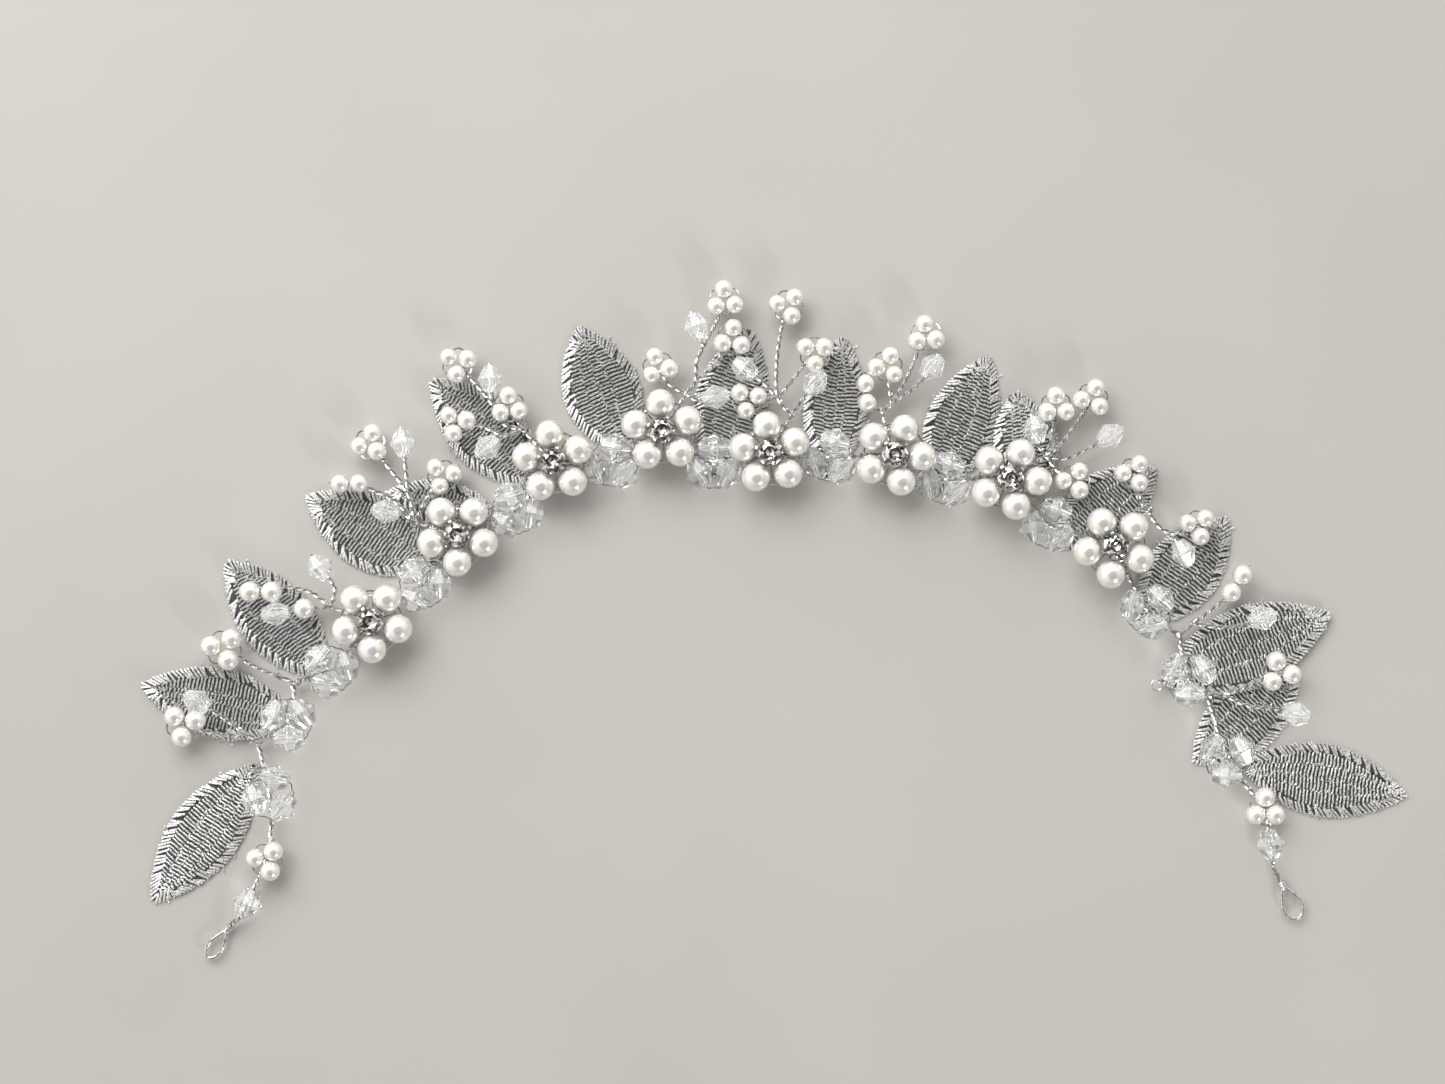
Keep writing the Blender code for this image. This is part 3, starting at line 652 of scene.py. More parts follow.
def end_points(side):
    """The wire from an end's bend to the base of its eye."""
    trio, _, knee, base, _, _ = ENDS[side]
    bend = joint_spot("bend_01" if side == "left" else "bend_14")
    crystal = joint_spot(f"crystal_{side}_spin")
    run = np.array(JOINTS[f"crystal_{side}_spin"]["axis"])
    trio_spot = bend + (*trio, 0.0)
    trio_spot[2] = crystal[2]
    past = crystal + run * (CRYSTAL_HALF_LENGTH + 0.5)
    knee_spot = crystal + (*knee, 0.0)
    knee_spot[2] = KNEE_HEIGHT
    base_spot = crystal + (*base, 0.0)
    base_spot[2] = EYE_HEIGHT
    return [trio_spot, crystal, past, knee_spot, base_spot]


def spine_path():
    """The whole spine, from the base of the left eye to the base of the right one."""
    points = end_points("left")[::-1]
    for number in range(1, 14):
        points.append(joint_spot(f"bend_{number:02d}"))
        points += between(number, number + 1)
    points.append(joint_spot("bend_14"))
    points += end_points("right")
    return rounded(points)


def build_spine():
    """Twisted wire, cut at every bend into pieces that ride with a body and pieces fixed where they
    are made.
    """
    path = spine_path()
    run = lengths(path)
    strands = twisted(path, SPINE_STRAND * LOOSENESS, SPINE_PITCH, 3)
    cuts = [0]
    for number in range(1, 15):
        bend = joint_spot(f"bend_{number:02d}")
        at = run[np.linalg.norm(path - bend, axis=1).argmin()]
        low, high = np.searchsorted(run, [at - BEND_HALF_LENGTH, at + BEND_HALF_LENGTH])
        cuts += [low, high]
        joint = JOINTS[f"bend_{number:02d}"]
        pair = (joint["parent"], joint["child"])
        if number > 7:
            start, end = path[low], path[high]
        else:
            start, end = path[high], path[low]
        shape = Shape().add(tubes(strands[:, low:high + 1], SPINE_STRAND))
        bridge(f"bend_{number:02d}_wire", shape, WIRE, "silver_wire", pair, start, end)
    cuts.append(len(path) - 1)
    nodes = ["end_loop_left"] + [f"crystal_link_{n:02d}" for n in range(1, 14)] + ["end_loop_right"]
    for node, low, high in zip(nodes, cuts[0::2], cuts[1::2]):
        shape = Shape().add(tubes(strands[:, low:high + 1], SPINE_STRAND))
        for near in (low + 5, high - 5):
            wrap(shape, path[near], path[near + 1] - path[near - 1], 2.6, 0.72)
        piece(f"{node}_spine", shape, WIRE, node)


def wrap(shape, centre, along, turns=3.5, radius=0.62, strand=0.16):
    """A few close turns of fine wire round a wire."""
    steps = int(turns * 14)
    t = np.linspace(-0.5, 0.5, steps)
    ahead = unit(np.asarray(along, float))
    side = unit(np.cross(ahead, UP))
    up = np.cross(side, ahead)
    angle = 2 * np.pi * turns * t[:, None]
    coil = centre + ahead * t[:, None] * turns * strand * 2.3
    coil = coil + radius * (np.cos(angle) * side + np.sin(angle) * up)
    shape.add(tubes(coil, strand, 5))


def build_end(side):
    """Pearl trio and eye of one end, and the crystal that turns on its wire."""
    trio, turn, _, base, tip, half_width = ENDS[side]
    node = f"end_loop_{side}"
    points = end_points(side)
    pearls, thread = Shape(), Shape()
    add_trio(pearls, thread, points[0], math.radians(turn), END_PEARL_RADIUS)
    crystal = points[1]
    foot = crystal + (*base, 0.0)
    top = crystal + (*tip, 0.0)
    foot[2] = top[2] = EYE_HEIGHT
    along = top - foot
    across = unit(np.cross(UP, along)) * half_width
    outline = [(0.0, 0.0), (0.22, 0.5), (0.55, 1.0), (0.86, 0.78), (1.0, 0.0),
               (0.86, -0.78), (0.55, -1.0), (0.22, -0.5)]
    loop = [foot + along * run + across * out for run, out in outline]
    thread.add(tubes(rounded(loop, closed=True), EYE_STRAND, 8, closed=True))
    wrap(thread, foot, along, 3.0, 0.5)
    piece(f"{node}_pearls", pearls, PEARL, node)
    piece(f"{node}_eye", thread, WIRE, node)
    run = np.array(JOINTS[f"crystal_{side}_spin"]["axis"])
    bead = Shape().add(bicone(
        crystal, run, END_CRYSTAL_RADIUS, CRYSTAL_HALF_LENGTH, CRYSTAL_END_RADIUS,
        math.radians(22.5),
    ))
    piece(f"end_crystal_{side}_bead", bead, CRYSTAL, f"end_crystal_{side}", False)


# ------------------------------------------------------------------------- clusters and flowers

def ring_spots(centre, radius, count, turn):
    return [centre + heading(turn + 2 * math.pi * n / count) * radius for n in range(count)]


def curl(centre, spot):
    """A loose end of wire that leaves a cluster and closes in a small ring."""
    ring = [spot + heading(math.radians(angle)) * 1.1 + UP * angle * 0.0012
            for angle in range(0, 400, 30)]
    return [centre, (centre + spot) / 2 + UP * 0.8] + ring


def build_cluster(number):
    """Three crystals threaded on a loop of fine wire, bound to the spine."""
    centre, turn = CLUSTERS[number]
    node = f"crystal_link_{number:02d}"
    crystals, thread = Shape(), Shape()
    loop = []
    for place, spot in enumerate(ring_spots(centre, CLUSTER_RADIUS, 3, turn)):
        along = np.cross(UP, unit(spot - centre))
        reach = along * (CRYSTAL_HALF_LENGTH + 0.2)
        corner = centre + heading(turn + math.pi / 3 * (2 * place + 1)) * CLUSTER_RADIUS * 1.32
        loop += [spot - reach, spot, spot + reach, corner]
        crystals.add(bicone(
            spot, along, CRYSTAL_RADIUS, CRYSTAL_HALF_LENGTH, CRYSTAL_END_RADIUS,
            math.radians(22.5 + 15 * place),
        ))
    thread.add(tubes(rounded(loop, closed=True), THREAD_STRAND * 1.3, 6, closed=True))
    if number in CURLS:
        thread.add(tubes(rounded(curl(centre, centre + CURLS[number])), STEM_STRAND, 8))
    piece(f"{node}_crystals", crystals, CRYSTAL, node, False)
    piece(f"{node}_thread", thread, WIRE, node)


def build_flower(number):
    """Five pearls on a ring of wire that is tied down to the spine."""
    spots = FLOWERS[number]
    centre = spots.mean(axis=0)
    turn = bearing(spots, centre, 5)
    ring = float(np.linalg.norm(spots - centre, axis=1).mean())
    node = f"pearl_flower_{number}"
    pearls, thread = Shape(), Shape()
    loop = []
    for place in range(5):
        angle = turn + 2 * math.pi * place / 5
        spot = centre + heading(angle) * ring
        along = heading(angle + math.pi / 2)
        pearls.add(pearl(spot, along, PEARL_RADIUS, 36))
        loop += [spot - along * 2.4, spot + along * 2.4]
        gap = heading(angle + math.pi / 5)
        tie = [centre + gap * run + UP * rise for run, rise in
               ((5.5, 0.25), (5.0, -1.8), (3.6, -3.1), (0.9, -3.6))]
        thread.add(tubes(rounded(tie), THREAD_STRAND * 1.2, 6))
    thread.add(tubes(rounded(loop, closed=True), THREAD_STRAND * 1.4, 6, closed=True))
    piece(f"{node}_pearls", pearls, PEARL, node)
    piece(f"{node}_thread", thread, WIRE, node)
    build_stone(number, centre, turn)


def cut_stone(centre, turn):
    """A round stone whose crown, and the point seen through its table, are cut in triangles."""
    half = math.pi / 8
    levels = [
        (0.15, STONE_GIRDLE - 1.8, 0.0), (STONE_RADIUS, STONE_GIRDLE - 0.08, 0.0),
        (STONE_RADIUS, STONE_GIRDLE + 0.08, 0.0), (STONE_RADIUS * 0.76, STONE_GIRDLE + 0.6, half),
        (STONE_RADIUS * 0.52, STONE_TABLE, 0.0), (STONE_RADIUS * 0.3, STONE_TABLE - 0.12, half),
        (STONE_RADIUS * 0.04, STONE_TABLE - 0.45, 0.0),
    ]
    points, faces = [], []
    for radius, height, shift in levels:
        for corner in range(8):
            out = heading(turn + shift + 2 * half * corner)
            points.append(centre + out * radius + UP * height)
    last = len(levels) - 1
    for level in range(last):
        low, high = level * 8, level * 8 + 8
        for corner in range(8):
            after = (corner + 1) % 8
            a, b, c, d = low + corner, low + after, high + after, high + corner
            if level < 2:
                faces.append((a, b, c, d))
            elif level % 2 == 0:
                faces += [(a, b, d), (b, c, d)]
            else:
                faces += [(a, b, c), (a, c, d)]
    faces.append(tuple(range(8))[::-1])
    faces.append(tuple(range(last * 8, last * 8 + 8)))
    return np.array(points), faces


def strap(path, across, width, thickness):
    """A flat strip of metal with rounded edges, bent along a path; it narrows to its last end."""
    ahead = unit(np.gradient(path, axis=0))
    out = np.cross(ahead, across)
    taper = np.linspace(1.0, 0.6, len(path))[:, None, None]
    corners = np.array([(-1, -0.4), (-0.85, -1), (0.85, -1), (1, -0.4),
                        (1, 0.4), (0.85, 1), (-0.85, 1), (-1, 0.4)]) / 2
    points = (path[:, None] + corners[:, :1] * width * taper * across
              + corners[:, 1:] * thickness * out[:, None])
    spot = np.arange(len(path) * 8).reshape(len(path), 8)
    low, high = spot[:-1], spot[1:]
    quads = np.stack([low, np.roll(low, -1, axis=1), np.roll(high, -1, axis=1), high], axis=-1)
    faces = quads.reshape(-1, 4).tolist() + [spot[0, ::-1].tolist(), spot[-1].tolist()]
    return points.reshape(-1, 3), faces


def build_stone(number, centre, turn):
    """A cup whose four broad claws are folded over the stone."""
    node = f"rhinestone_{number}"
    stone = Shape().add(cut_stone(centre, turn))
    cup = Shape()
    profile = [(1.2, CUP_BOTTOM), (CUP_RADIUS, CUP_BOTTOM + 1.5), (CUP_RADIUS, CUP_TOP),
               (CUP_RADIUS - 0.35, CUP_TOP), (CUP_RADIUS - 0.4, CUP_BOTTOM + 1.7),
               (0.5, CUP_BOTTOM + 0.35), (0.5, CUP_BOTTOM)]
    cup.add(turned(profile, 32, centre, UP))
    for corner in range(4):
        out = heading(turn + math.pi / 4 + corner * math.pi / 2)
        path = [centre + out * run + UP * rise for run, rise in
                ((2.2, CUP_BOTTOM + 1.4), (2.5, 0.6), (3.08, STONE_GIRDLE),
                 (3.4, STONE_GIRDLE + 0.5), (3.0, STONE_GIRDLE + 0.85),
                 (2.15, STONE_GIRDLE + 0.95))]
        cup.add(strap(rounded(path, 0.25), np.cross(UP, out), CLAW_WIDTH, CLAW_THICKNESS))
    piece(f"{node}_cut", stone, STONE, node, False)
    piece(f"{node}_cup", cup, CLAW, node)


# ------------------------------------------------------------------------- sprays

def add_trio(pearls, thread, centre, turn, radius):
    """Three small pearls on a loop of wire; no two are quite alike or quite level."""
    chance = np.random.default_rng(int(abs(centre[0] * 70 + centre[1] * 13)))
    loop = []
    for spot in ring_spots(centre, radius * TRIO_SPREAD, 3, turn):
        along = np.cross(UP, unit(spot - centre))
        spot = spot + UP * chance.uniform(-0.2, 0.7)
        pearls.add(pearl(spot, along, radius * chance.uniform(0.94, 1.02), 24))
        loop += [spot - along * radius * 0.97, spot + along * radius * 0.97]
    thread.add(tubes(rounded(loop, closed=True), THREAD_STRAND * 1.3, 6, closed=True))


def branch_path(bend, offsets):
    """A stem that climbs to the beads' height as it leaves the bend."""
    points = []
    for x, y in offsets:
        share = min(1.0, math.hypot(x, y) / SPRAY_RISE_LENGTH)
        points.append(bend + (x, y, ROOT_LIFT + (SPRAY_RISE - ROOT_LIFT) * share))
    points[-1][2] = bend[2] + SPRAY_RISE
    return points


def add_branch(shapes, kind, turn, points, radius):
    """One stem with the bead group at its tip; the radius is that of its pearls."""
    pearls, crystals, wires = shapes
    tip = points[-1]
    along = unit((tip - points[-2]) * (1, 1, 0))
    if kind == "trio":
        add_trio(pearls, wires, tip, math.radians(turn), radius)
        points = points[:-1] + [tip - along * 0.8]
    elif kind == "pair":
        reach = heading(math.radians(turn)) * radius * PAIR_SPREAD
        spots = sorted((tip - reach, tip + reach), key=lambda s: np.linalg.norm(s - points[-2]))
        run = unit(spots[1] - spots[0])
        for spot in spots:
            pearls.add(pearl(spot, run, radius, 24))
        points = points[:-1] + [spots[0], spots[1] + run * (radius + 0.35)]
    elif kind == "pearl":
        pearls.add(pearl(tip, along, radius, 24))
    else:
        crystals.add(bicone(
            tip, along, SPRAY_CRYSTAL_RADIUS, SPRAY_CRYSTAL_HALF_LENGTH,
            SPRAY_CRYSTAL_END_RADIUS, math.radians(22.5),
        ))
        points = points[:-1] + [tip, tip + along * (SPRAY_CRYSTAL_HALF_LENGTH + 0.5)]
    wires.wire(rounded(points), STEM_STRAND, STEM_PITCH)


def build_spray(number):
    """Twisted stems that fan out from one bend, and the stub that ties them to the spine."""
    node = f"spray_{number:02d}"
    joint = JOINTS[f"{node}_lift"]
    bend = joint_spot(f"{node}_lift")
    shapes = (Shape(), Shape(), Shape())
    pearls, crystals, wires = shapes
    if number in SPURS:
        root = bend + (*SPURS[number], 0.0)
    else:
        root = FLOWERS[SPRAY_FLOWERS[number]].mean(axis=0)
        root[2] = bend[2]
    out = unit(bend - root)
    radius = LARGER_PEARLS.get(number, SMALL_PEARL_RADIUS)
    for kind, turn, offsets in SPRAYS[number]:
        points = branch_path(bend, offsets)
        if offsets[0] == (0, 0):
            points[0] = points[0] + out * 0.5
        add_branch(shapes, kind, turn, points, radius)
    lift = UP * ROOT_LIFT
    wrap(wires, bend + out * 1.0 + lift, out, 3.0, 0.6)
    for label, shape, material, slot, smooth in (
        ("pearls", pearls, PEARL, "ivory_pearl", True),
        ("crystals", crystals, BRIGHT_CRYSTAL, "clear_crystal", False),
        ("stems", wires, WIRE, "silver_wire", True),
    ):
        if shape.count:
            piece(f"{node}_{label}", shape, material, node, smooth)
    stub = Shape().wire(rounded([root + lift, bend + out * 0.7 + lift]), STEM_STRAND, STEM_PITCH)
    bodies = (joint["parent"], joint["child"])
    bridge(f"{node}_stub", stub, WIRE, "silver_wire", bodies, bend - out * 1.4, bend + out * 0.6)


# ------------------------------------------------------------------------- lace leaves

class Leaf:
    """Place and outline of one leaf, in its own directions: along it and across it."""

    crossing = None
    strays = 7

    def __init__(self, number):
        self.name = self.node = f"leaf_{number:02d}"
        self.random = np.random.default_rng(number)
        points = node_points(self.node)
        self.bottom = float(points[:, 2].min())
        rim = points[points[:, 2] < self.bottom + 0.01]
        gaps = np.linalg.norm(rim[:, None] - rim[None], axis=2)
        ends = [rim[place] for place in np.unravel_index(gaps.argmax(), gaps.shape)]
        middles = np.array([centre for centre, _ in CLUSTERS.values()])
        ends.sort(key=lambda spot: np.linalg.norm(middles[:, :2] - spot[:2], axis=1).min())
        self.base, tip = ends
        self.length = float(np.linalg.norm(tip - self.base))
        self.ahead = unit(tip - self.base)
        self.left = np.cross(UP, self.ahead)
        self.width = float(np.ptp((rim - self.base) @ self.left))
        self.phase = self.random.uniform(0, 2 * math.pi)

    def half(self, along):
        """Half the width at a distance along the leaf."""
        share = np.clip(np.asarray(along) / self.length, 0, 1)
        return 0.5 * self.width * np.sin(np.pi * share) ** LEAF_FULLNESS

    def wave(self, along, across):
        """How far the leaf lifts off the table, for it never lies quite flat."""
        ripple = np.sin(along / self.length * 5.0 + self.phase) * across / self.width * 2
        return LEAF_WAVE * (1.0 + ripple)

    def place(self, along, across, height):
        """Points in the frame from distances along, across and above the leaf."""
        level = self.bottom + height + self.wave(along, across)
        return (self.base + along[..., None] * self.ahead + across[..., None] * self.left
                + (level - self.base[2])[..., None] * UP)

    def edge(self, side, pitch):
        """Evenly spaced places along one edge: distance along, and its inward direction."""
        along = np.linspace(0.0, self.length, 400)
        across = self.half(along)
        run = lengths(np.stack([along, across], axis=1))
        spots = np.arange(pitch * 0.7, run[-1] - pitch * 0.3, pitch)
        along = np.interp(spots, run, along)
        slope = (self.half(along + 0.05) - self.half(along - 0.05)) / 0.1
        inward = unit(np.stack([slope, -np.ones_like(slope)], axis=1))
        return along, inward * (1, side)


class TuckedLeaf(Leaf):
    """A leaf mostly hidden by a flower and placed from its middle; it lies across a joint."""

    strays = 0

    def __init__(self, name, flower, bend, base, tip, width):
        self.name = name
        self.node = f"pearl_flower_{flower}"
        self.random = np.random.default_rng(16)
        self.bottom = TUCKED_HEIGHT
        middle = FLOWERS[flower].mean(axis=0) * (1, 1, 0) + UP * self.bottom
        self.base = middle + (*base, 0.0)
        self.length = math.dist(base, tip)
        self.ahead = unit(np.array((*tip, 0.0)) - (*base, 0.0))
        self.left = np.cross(UP, self.ahead)
        self.width = width
        self.phase = self.random.uniform(0, 2 * math.pi)
        joint = JOINTS[bend]
        toward_flower = unit((middle - joint_spot(bend)) * (1, 1, 0))
        near, far = (joint_spot(bend) + toward_flower * reach for reach in TUCKED_BEND)
        self.crossing = ((joint["parent"], joint["child"]), far, near)


def border_threads(leaf):
    """Raised satin stitches, slanted over the edge and fanned out round the tip and the base."""
    shape = Shape()
    steps = np.linspace(0, 1, 7)
    for side in (1, -1):
        along, inward = leaf.edge(side, BORDER_PITCH)
        count = len(along)
        along = along + leaf.random.normal(0, 0.09, count)
        share = along / leaf.length
        tip_turn = np.clip((share - 0.86) / 0.14, 0, 1) * 2.5
        base_turn = np.clip((0.12 - share) / 0.12, 0, 1) * 2.5
        lean = BORDER_LEAN * side - tip_turn + base_turn + leaf.random.normal(0, 0.22, count)
        aim = inward.copy()
        aim[:, 0] += lean
        aim = unit(aim)
        room = np.minimum(BORDER_WIDTH, leaf.half(along) * 1.1 + 1.2 * (tip_turn > 0) + 0.3)
        reach = room * leaf.random.uniform(0.85, 1.12, count)
        start = leaf.random.uniform(-0.05, 0.2, count)
        run = start[:, None] + (reach - start)[:, None] * steps
        u = along[:, None] + aim[:, :1] * run
        v = side * leaf.half(along)[:, None] + aim[:, 1:] * run
        peak = BORDER_HEIGHT * leaf.random.uniform(0.75, 1.15, count)[:, None]
        rise = BORDER_THREAD + peak * np.sin(np.pi * (0.08 + 0.84 * steps)) ** 0.6
        shape.add(tubes(leaf.place(u, v, rise), BORDER_THREAD, 5))
    return shape


def field_lines(leaf):
    """Shares of the inner width where the stitched bands meet, with a little drift per leaf."""
    drift = leaf.random.uniform(-0.05, 0.05, 3)
    return [-1.0, -0.42 + drift[0], 0.06 + drift[1], 0.52 + drift[2], 1.0]


def field_threads(leaf):
    """Rows of thread across the leaf in bands, with a chain of knots where two bands meet."""
    shape = Shape()
    lines = field_lines(leaf)
    steps = np.linspace(0, 1, 8)
    for band, (low, high) in enumerate(zip(lines, lines[1:])):
        rows = np.arange(1.6 + FIELD_PITCH / 2 * (band % 2), leaf.length - 2.2, FIELD_PITCH)
        rows = rows + leaf.random.normal(0, 0.04, len(rows))
        inner = np.maximum(leaf.half(rows) - BORDER_WIDTH * 0.85, 0.12)
        lean = leaf.random.uniform(-0.3, 0.3) + leaf.random.normal(0, 0.05, len(rows))
        u = rows[:, None] + lean[:, None] * steps
        u = u + 0.04 * np.sin(steps * 9 + leaf.random.uniform(0, 6, len(rows))[:, None])
        v = inner[:, None] * (low + (high - low) * (0.02 + 0.96 * steps))
        height = leaf.random.uniform(0.7, 1.25, len(rows))[:, None]
        rise = FIELD_THREAD + FIELD_HEIGHT * height * np.sin(np.pi * (0.1 + 0.8 * steps)) ** 0.5
        shape.add(tubes(leaf.place(u, v, rise), FIELD_THREAD, 5))
    short = np.linspace(-0.5, 0.5, 5)
    for line in lines[1:-1]:
        rows = np.arange(2.4, leaf.length - 3.0, FIELD_PITCH)
        rows = rows[leaf.random.random(len(rows)) < KNOT_SHARE]
        rows = rows + leaf.random.normal(0, 0.06, len(rows))
        inner = np.maximum(leaf.half(rows) - BORDER_WIDTH * 0.85, 0.12)
        middle = inner * line + leaf.random.normal(0, 0.16, len(rows))
        u = rows[:, None] + 0.35 * short
        v = middle[:, None] + 0.7 * short
        rise = 0.3 + 0.2 * np.cos(np.pi * short)
        shape.add(tubes(leaf.place(u, v, rise), KNOT_THREAD, 5))
    return shape


def stray_threads(leaf):
    """Fine loose ends that stand off the edge."""
    shape = Shape()
    steps = np.linspace(0, 1, 9)
    for _ in range(leaf.strays):
        side = leaf.random.choice((-1, 1))
        along = leaf.random.uniform(0.1, 0.95) * leaf.length
        across = side * (float(leaf.half(along)) - 0.3)
        reach = leaf.random.uniform(0.5, 1.2)
        drift = leaf.random.uniform(-1.0, 1.4)
        u = along + drift * steps + 0.35 * np.sin(np.pi * steps)
        v = across + side * reach * np.sin(steps * leaf.random.uniform(1.2, 2.6))
        rise = 0.2 + 0.25 * np.sin(np.pi * steps * 0.8)
        shape.add(tubes(leaf.place(u, v, rise), STRAY_THREAD, 5))
    return shape


def backing(leaf):
    """The thin net of thread that the stitches are worked on, coloured near black as painted shade
    in the gaps between the stitches.
    """
    along = np.linspace(0.9, leaf.length - 0.9, 40)
    shares = np.linspace(-1, 1, 13)
    inner = leaf.half(along) - 0.35
    u = np.repeat(along[:, None], len(shares), axis=1)
    v = inner[:, None] * shares
    low = leaf.place(u, v, np.full_like(u, 0.06))
    high = leaf.place(u, v, np.full_like(u, 0.06 + BACKING_THICKNESS))
    rows, columns = u.shape
    points = np.vstack([low.reshape(-1, 3), high.reshape(-1, 3)])
    spot = np.arange(rows * columns).reshape(rows, columns)
    upper = spot + rows * columns
    faces = []
    top = np.stack([upper[:-1, :-1], upper[1:, :-1], upper[1:, 1:], upper[:-1, 1:]], axis=-1)
    under = np.stack([spot[:-1, :-1], spot[:-1, 1:], spot[1:, 1:], spot[1:, :-1]], axis=-1)
    faces += top.reshape(-1, 4).tolist() + under.reshape(-1, 4).tolist()
    rim = np.concatenate([spot[0, :-1], spot[:-1, -1], spot[-1, :0:-1], spot[:0:-1, 0]])
    for a, b in zip(rim, np.roll(rim, -1)):
        faces.append([int(b), int(a), int(a) + rows * columns, int(b) + rows * columns])
    return Shape().add((points, faces))


def spine_near(leaf, body):
    """The nearest spine to a leaf's base that is clear of the bends: its place and direction."""
    number = 7 if body == "crown" else int(body.rpartition("_")[2])
    path = spine_path()
    run = lengths(path)
    ends = []
    for bend in (number, number + 1):
        ends.append(run[np.linalg.norm(path - joint_spot(f"bend_{bend:02d}"), axis=1).argmin()])
    room = BEND_HALF_LENGTH + 2.6
    free = np.flatnonzero((run > ends[0] + room) & (run < ends[1] - room))
    near = free[np.linalg.norm(path[free] - leaf.base, axis=1).argmin()]
    return path[near], path[near + 1] - path[near - 1]


def build_tie(leaf):
    """Thread stitched over a leaf's base, led under the crystals and wound round the spine."""
    joint = JOINTS.get(f"{leaf.node}_curl")
    if joint:
        body = joint["parent"]
    else:
        body = next(body for body, nodes in GROUPS.items() if leaf.node in nodes)
    top, along = spine_near(leaf, body)
    inset = TIE_INSETS.get(leaf.name, 1.8)
    stitch = leaf.place(
        inset + np.array([-0.5, -0.2, 0.0, 0.2, 0.5]), np.array([-0.9, -0.6, 0.0, 0.6, 0.9]),
        np.array([0.3, 0.85, 0.95, 0.85, 0.3]),
    )
    foot = stitch[2]
    under = top * (1, 1, 0) + UP * TIE_HEIGHT
    halfway = (foot + under) / 2 - UP * 0.05
    shape = Shape().wire(rounded([foot, halfway, under, top]), THREAD_STRAND, 2.2)
    shape.add(tubes(rounded(list(stitch)), THREAD_STRAND, 6))
    wrap(shape, top, along, 2.5, 0.74, 0.14)
    if joint:
        bridge(f"{leaf.name}_tie", shape, WIRE, "silver_wire", (body, joint["child"]), top, foot)
    else:
        piece(f"{leaf.name}_tie", shape, WIRE, leaf.node)


def build_leaf(leaf):
    for label, shape, material in (
        ("border", border_threads(leaf), BORDER_LUREX),
        ("field", field_threads(leaf), FIELD_LUREX),
        ("backing", backing(leaf), SHADED_BACKING),
        ("strays", stray_threads(leaf), BORDER_LUREX),
    ):
        if not shape.count:
            continue
        name = f"{leaf.name}_{label}"
        if leaf.crossing:
            bridge(name, shape, material, "silver_lace", *leaf.crossing)
        else:
            piece(name, shape, material, leaf.node)
    build_tie(leaf)


# ------------------------------------------------------------------------- stage

VIEW_DISTANCE = 0.52
VIEW_WIDTH = 0.3097
VIEW_SHIFT = (-0.0109, 0.0167)


def build_camera():
    """Looks straight down, with the vine low in the frame."""
    low, high = CAD_BOUNDS
    data = bpy.data.cameras.new("camera")
    data.sensor_width = 36.0
    data.lens = data.sensor_width * VIEW_DISTANCE / VIEW_WIDTH
    data.clip_start = 0.01
    camera = bpy.data.objects.new("camera", data)
    middle = (low + high) / 2
    camera.location = (middle.x + VIEW_SHIFT[0], middle.y + VIEW_SHIFT[1], VIEW_DISTANCE)
    bpy.context.scene.collection.objects.link(camera)
    bpy.context.scene.camera = camera


def build_floor():
    """A plain pale table, a hair below the leaves."""
    made = Surface("pale_table")
    tone = made.ramp(made.noise(90.0, 3.0), (0.35, (0.485, 0.473, 0.448)), (0.7, (0.51, 0.5, 0.476)))
    made.link(tone, "Base Color")
    made.set(Roughness=0.45, Specular_IOR_Level=0.35)
    half = 2.0
    mesh = bpy.data.meshes.new("table")
    corners = [(-half, -half, 0), (half, -half, 0), (half, half, 0), (-half, half, 0)]
    mesh.from_pydata(corners, [], [(0, 1, 2, 3)])
    mesh.materials.append(made.material)
    table = bpy.data.objects.new("table", mesh)
    bpy.context.scene.collection.objects.link(table)


def area_light(name, spot, size, power, colour):
    data = bpy.data.lights.new(name, "AREA")
    data.shape = "RECTANGLE"
    data.size, data.size_y = size
    data.energy = power
    data.color = colour
    light = bpy.data.objects.new(name, data)
    light.location = spot
    light.rotation_euler = (-Vector(spot)).to_track_quat("-Z", "Y").to_euler()
    bpy.context.scene.collection.objects.link(light)


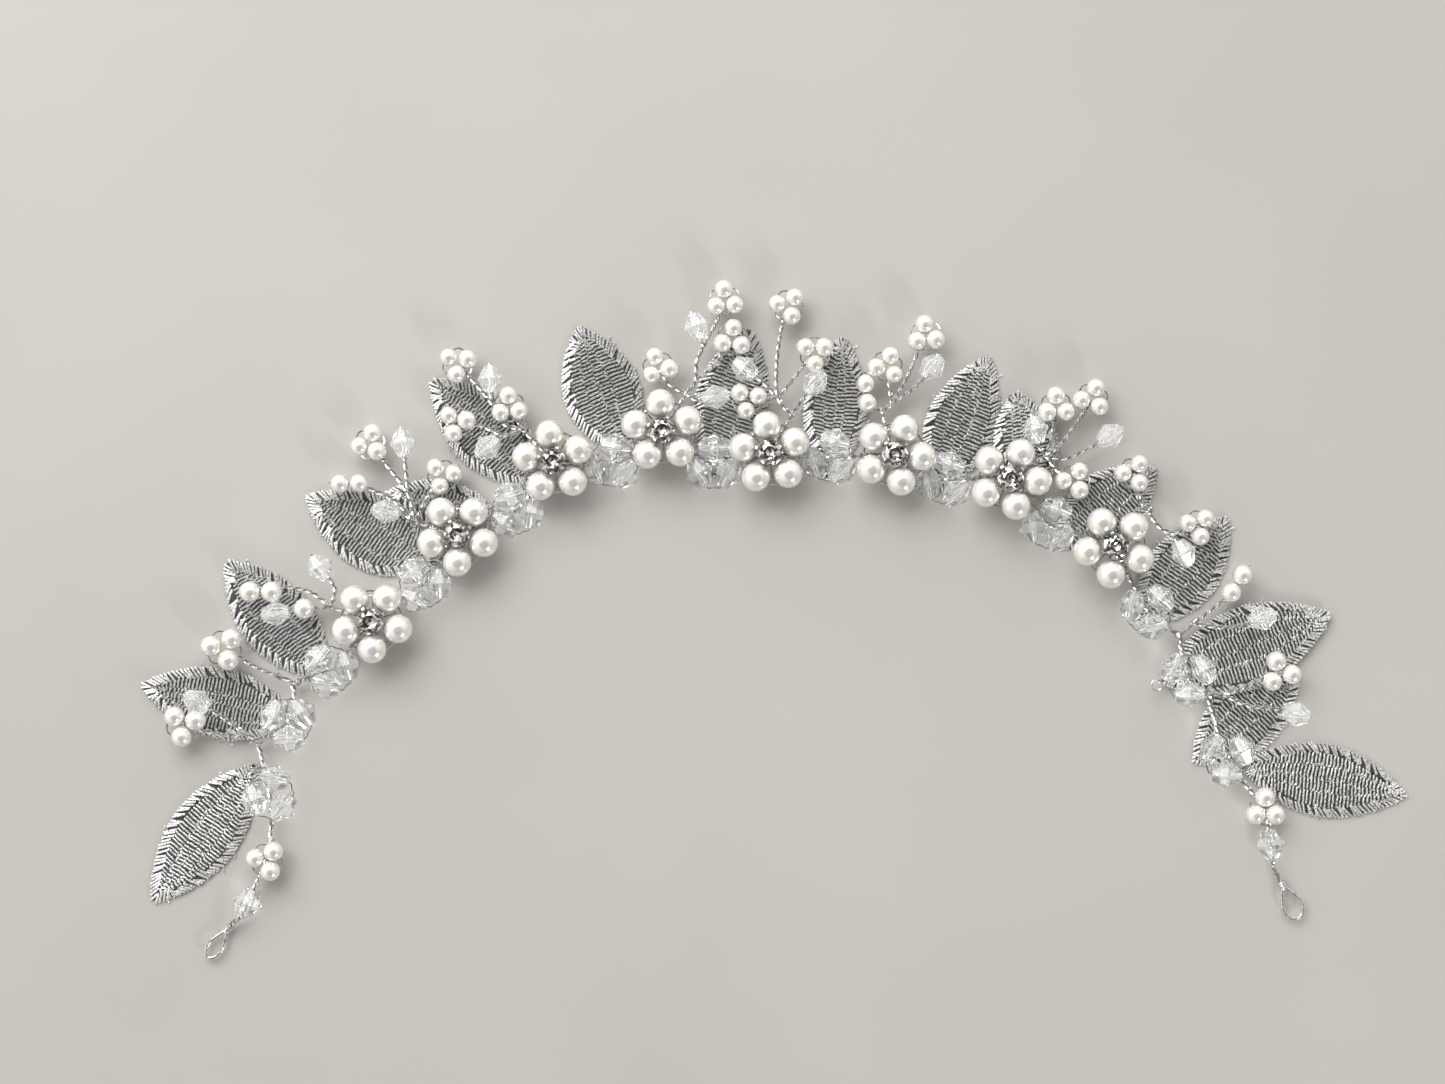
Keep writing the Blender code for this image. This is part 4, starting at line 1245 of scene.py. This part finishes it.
def toward(tree, direction, *stops):
    """Greys that change with the angle from a direction; each stop is (cosine, grey)."""
    place = tree.nodes.new("ShaderNodeTexCoord").outputs["Generated"]
    dot = tree.nodes.new("ShaderNodeVectorMath")
    dot.operation = "DOT_PRODUCT"
    dot.inputs[1].default_value = Vector(direction).normalized()
    share = tree.nodes.new("ShaderNodeMapRange")
    share.inputs["From Min"].default_value = -1.0
    ramp = tree.nodes.new("ShaderNodeValToRGB")
    tree.links.new(place, dot.inputs[0])
    tree.links.new(dot.outputs["Value"], share.inputs["Value"])
    tree.links.new(share.outputs[0], ramp.inputs["Fac"])
    elements = ramp.color_ramp.elements
    while len(elements) < len(stops):
        elements.new(0.5)
    for element, (cosine, grey) in zip(elements, stops):
        element.position = (cosine + 1) / 2
        element.color = (grey, grey * 0.99, grey * 0.97, 1.0)
    return ramp.outputs["Color"]


def build_world():
    """Room light: bright on the window's side, dim on the other, dark nearly overhead."""
    world = bpy.data.worlds.new("room")
    bpy.context.scene.world = world
    world.use_nodes = True
    tree = world.node_tree
    background = tree.nodes["Background"]
    background.inputs["Strength"].default_value = 1.0
    overhead = toward(tree, (0.1, -0.2, 1.0), (0.74, 1.0), (0.87, 0.12))
    sides = toward(tree, (-0.5, 0.85, 0.15), (-0.75, 0.35), (-0.1, 0.8), (0.5, 1.0))
    product = tree.nodes.new("ShaderNodeMix")
    product.data_type = "RGBA"
    product.blend_type = "MULTIPLY"
    product.inputs[0].default_value = 1.0
    tree.links.new(overhead, product.inputs[6])
    tree.links.new(sides, product.inputs[7])
    tree.links.new(product.outputs[2], background.inputs["Color"])


for link_number in CLUSTERS:
    build_cluster(link_number)
for flower_number in FLOWERS:
    build_flower(flower_number)
for spray_number in SPRAYS:
    build_spray(spray_number)
for leaf_number in range(1, 16):
    build_leaf(Leaf(leaf_number))
build_leaf(TuckedLeaf("leaf_16", 2, "bend_05", *TUCKED_LEAF))
build_spine()
for end_side in ENDS:
    build_end(end_side)

build_camera()
build_floor()
build_world()
area_light("window", (-0.4, 0.7, 0.8), (1.1, 0.8), 12.0, (1.0, 0.99, 0.97))
area_light("lamp", (0.55, -0.75, 0.45), (0.22, 0.22), 2.6, (1.0, 0.99, 0.98))
bpy.context.scene.view_settings.view_transform = "Standard"
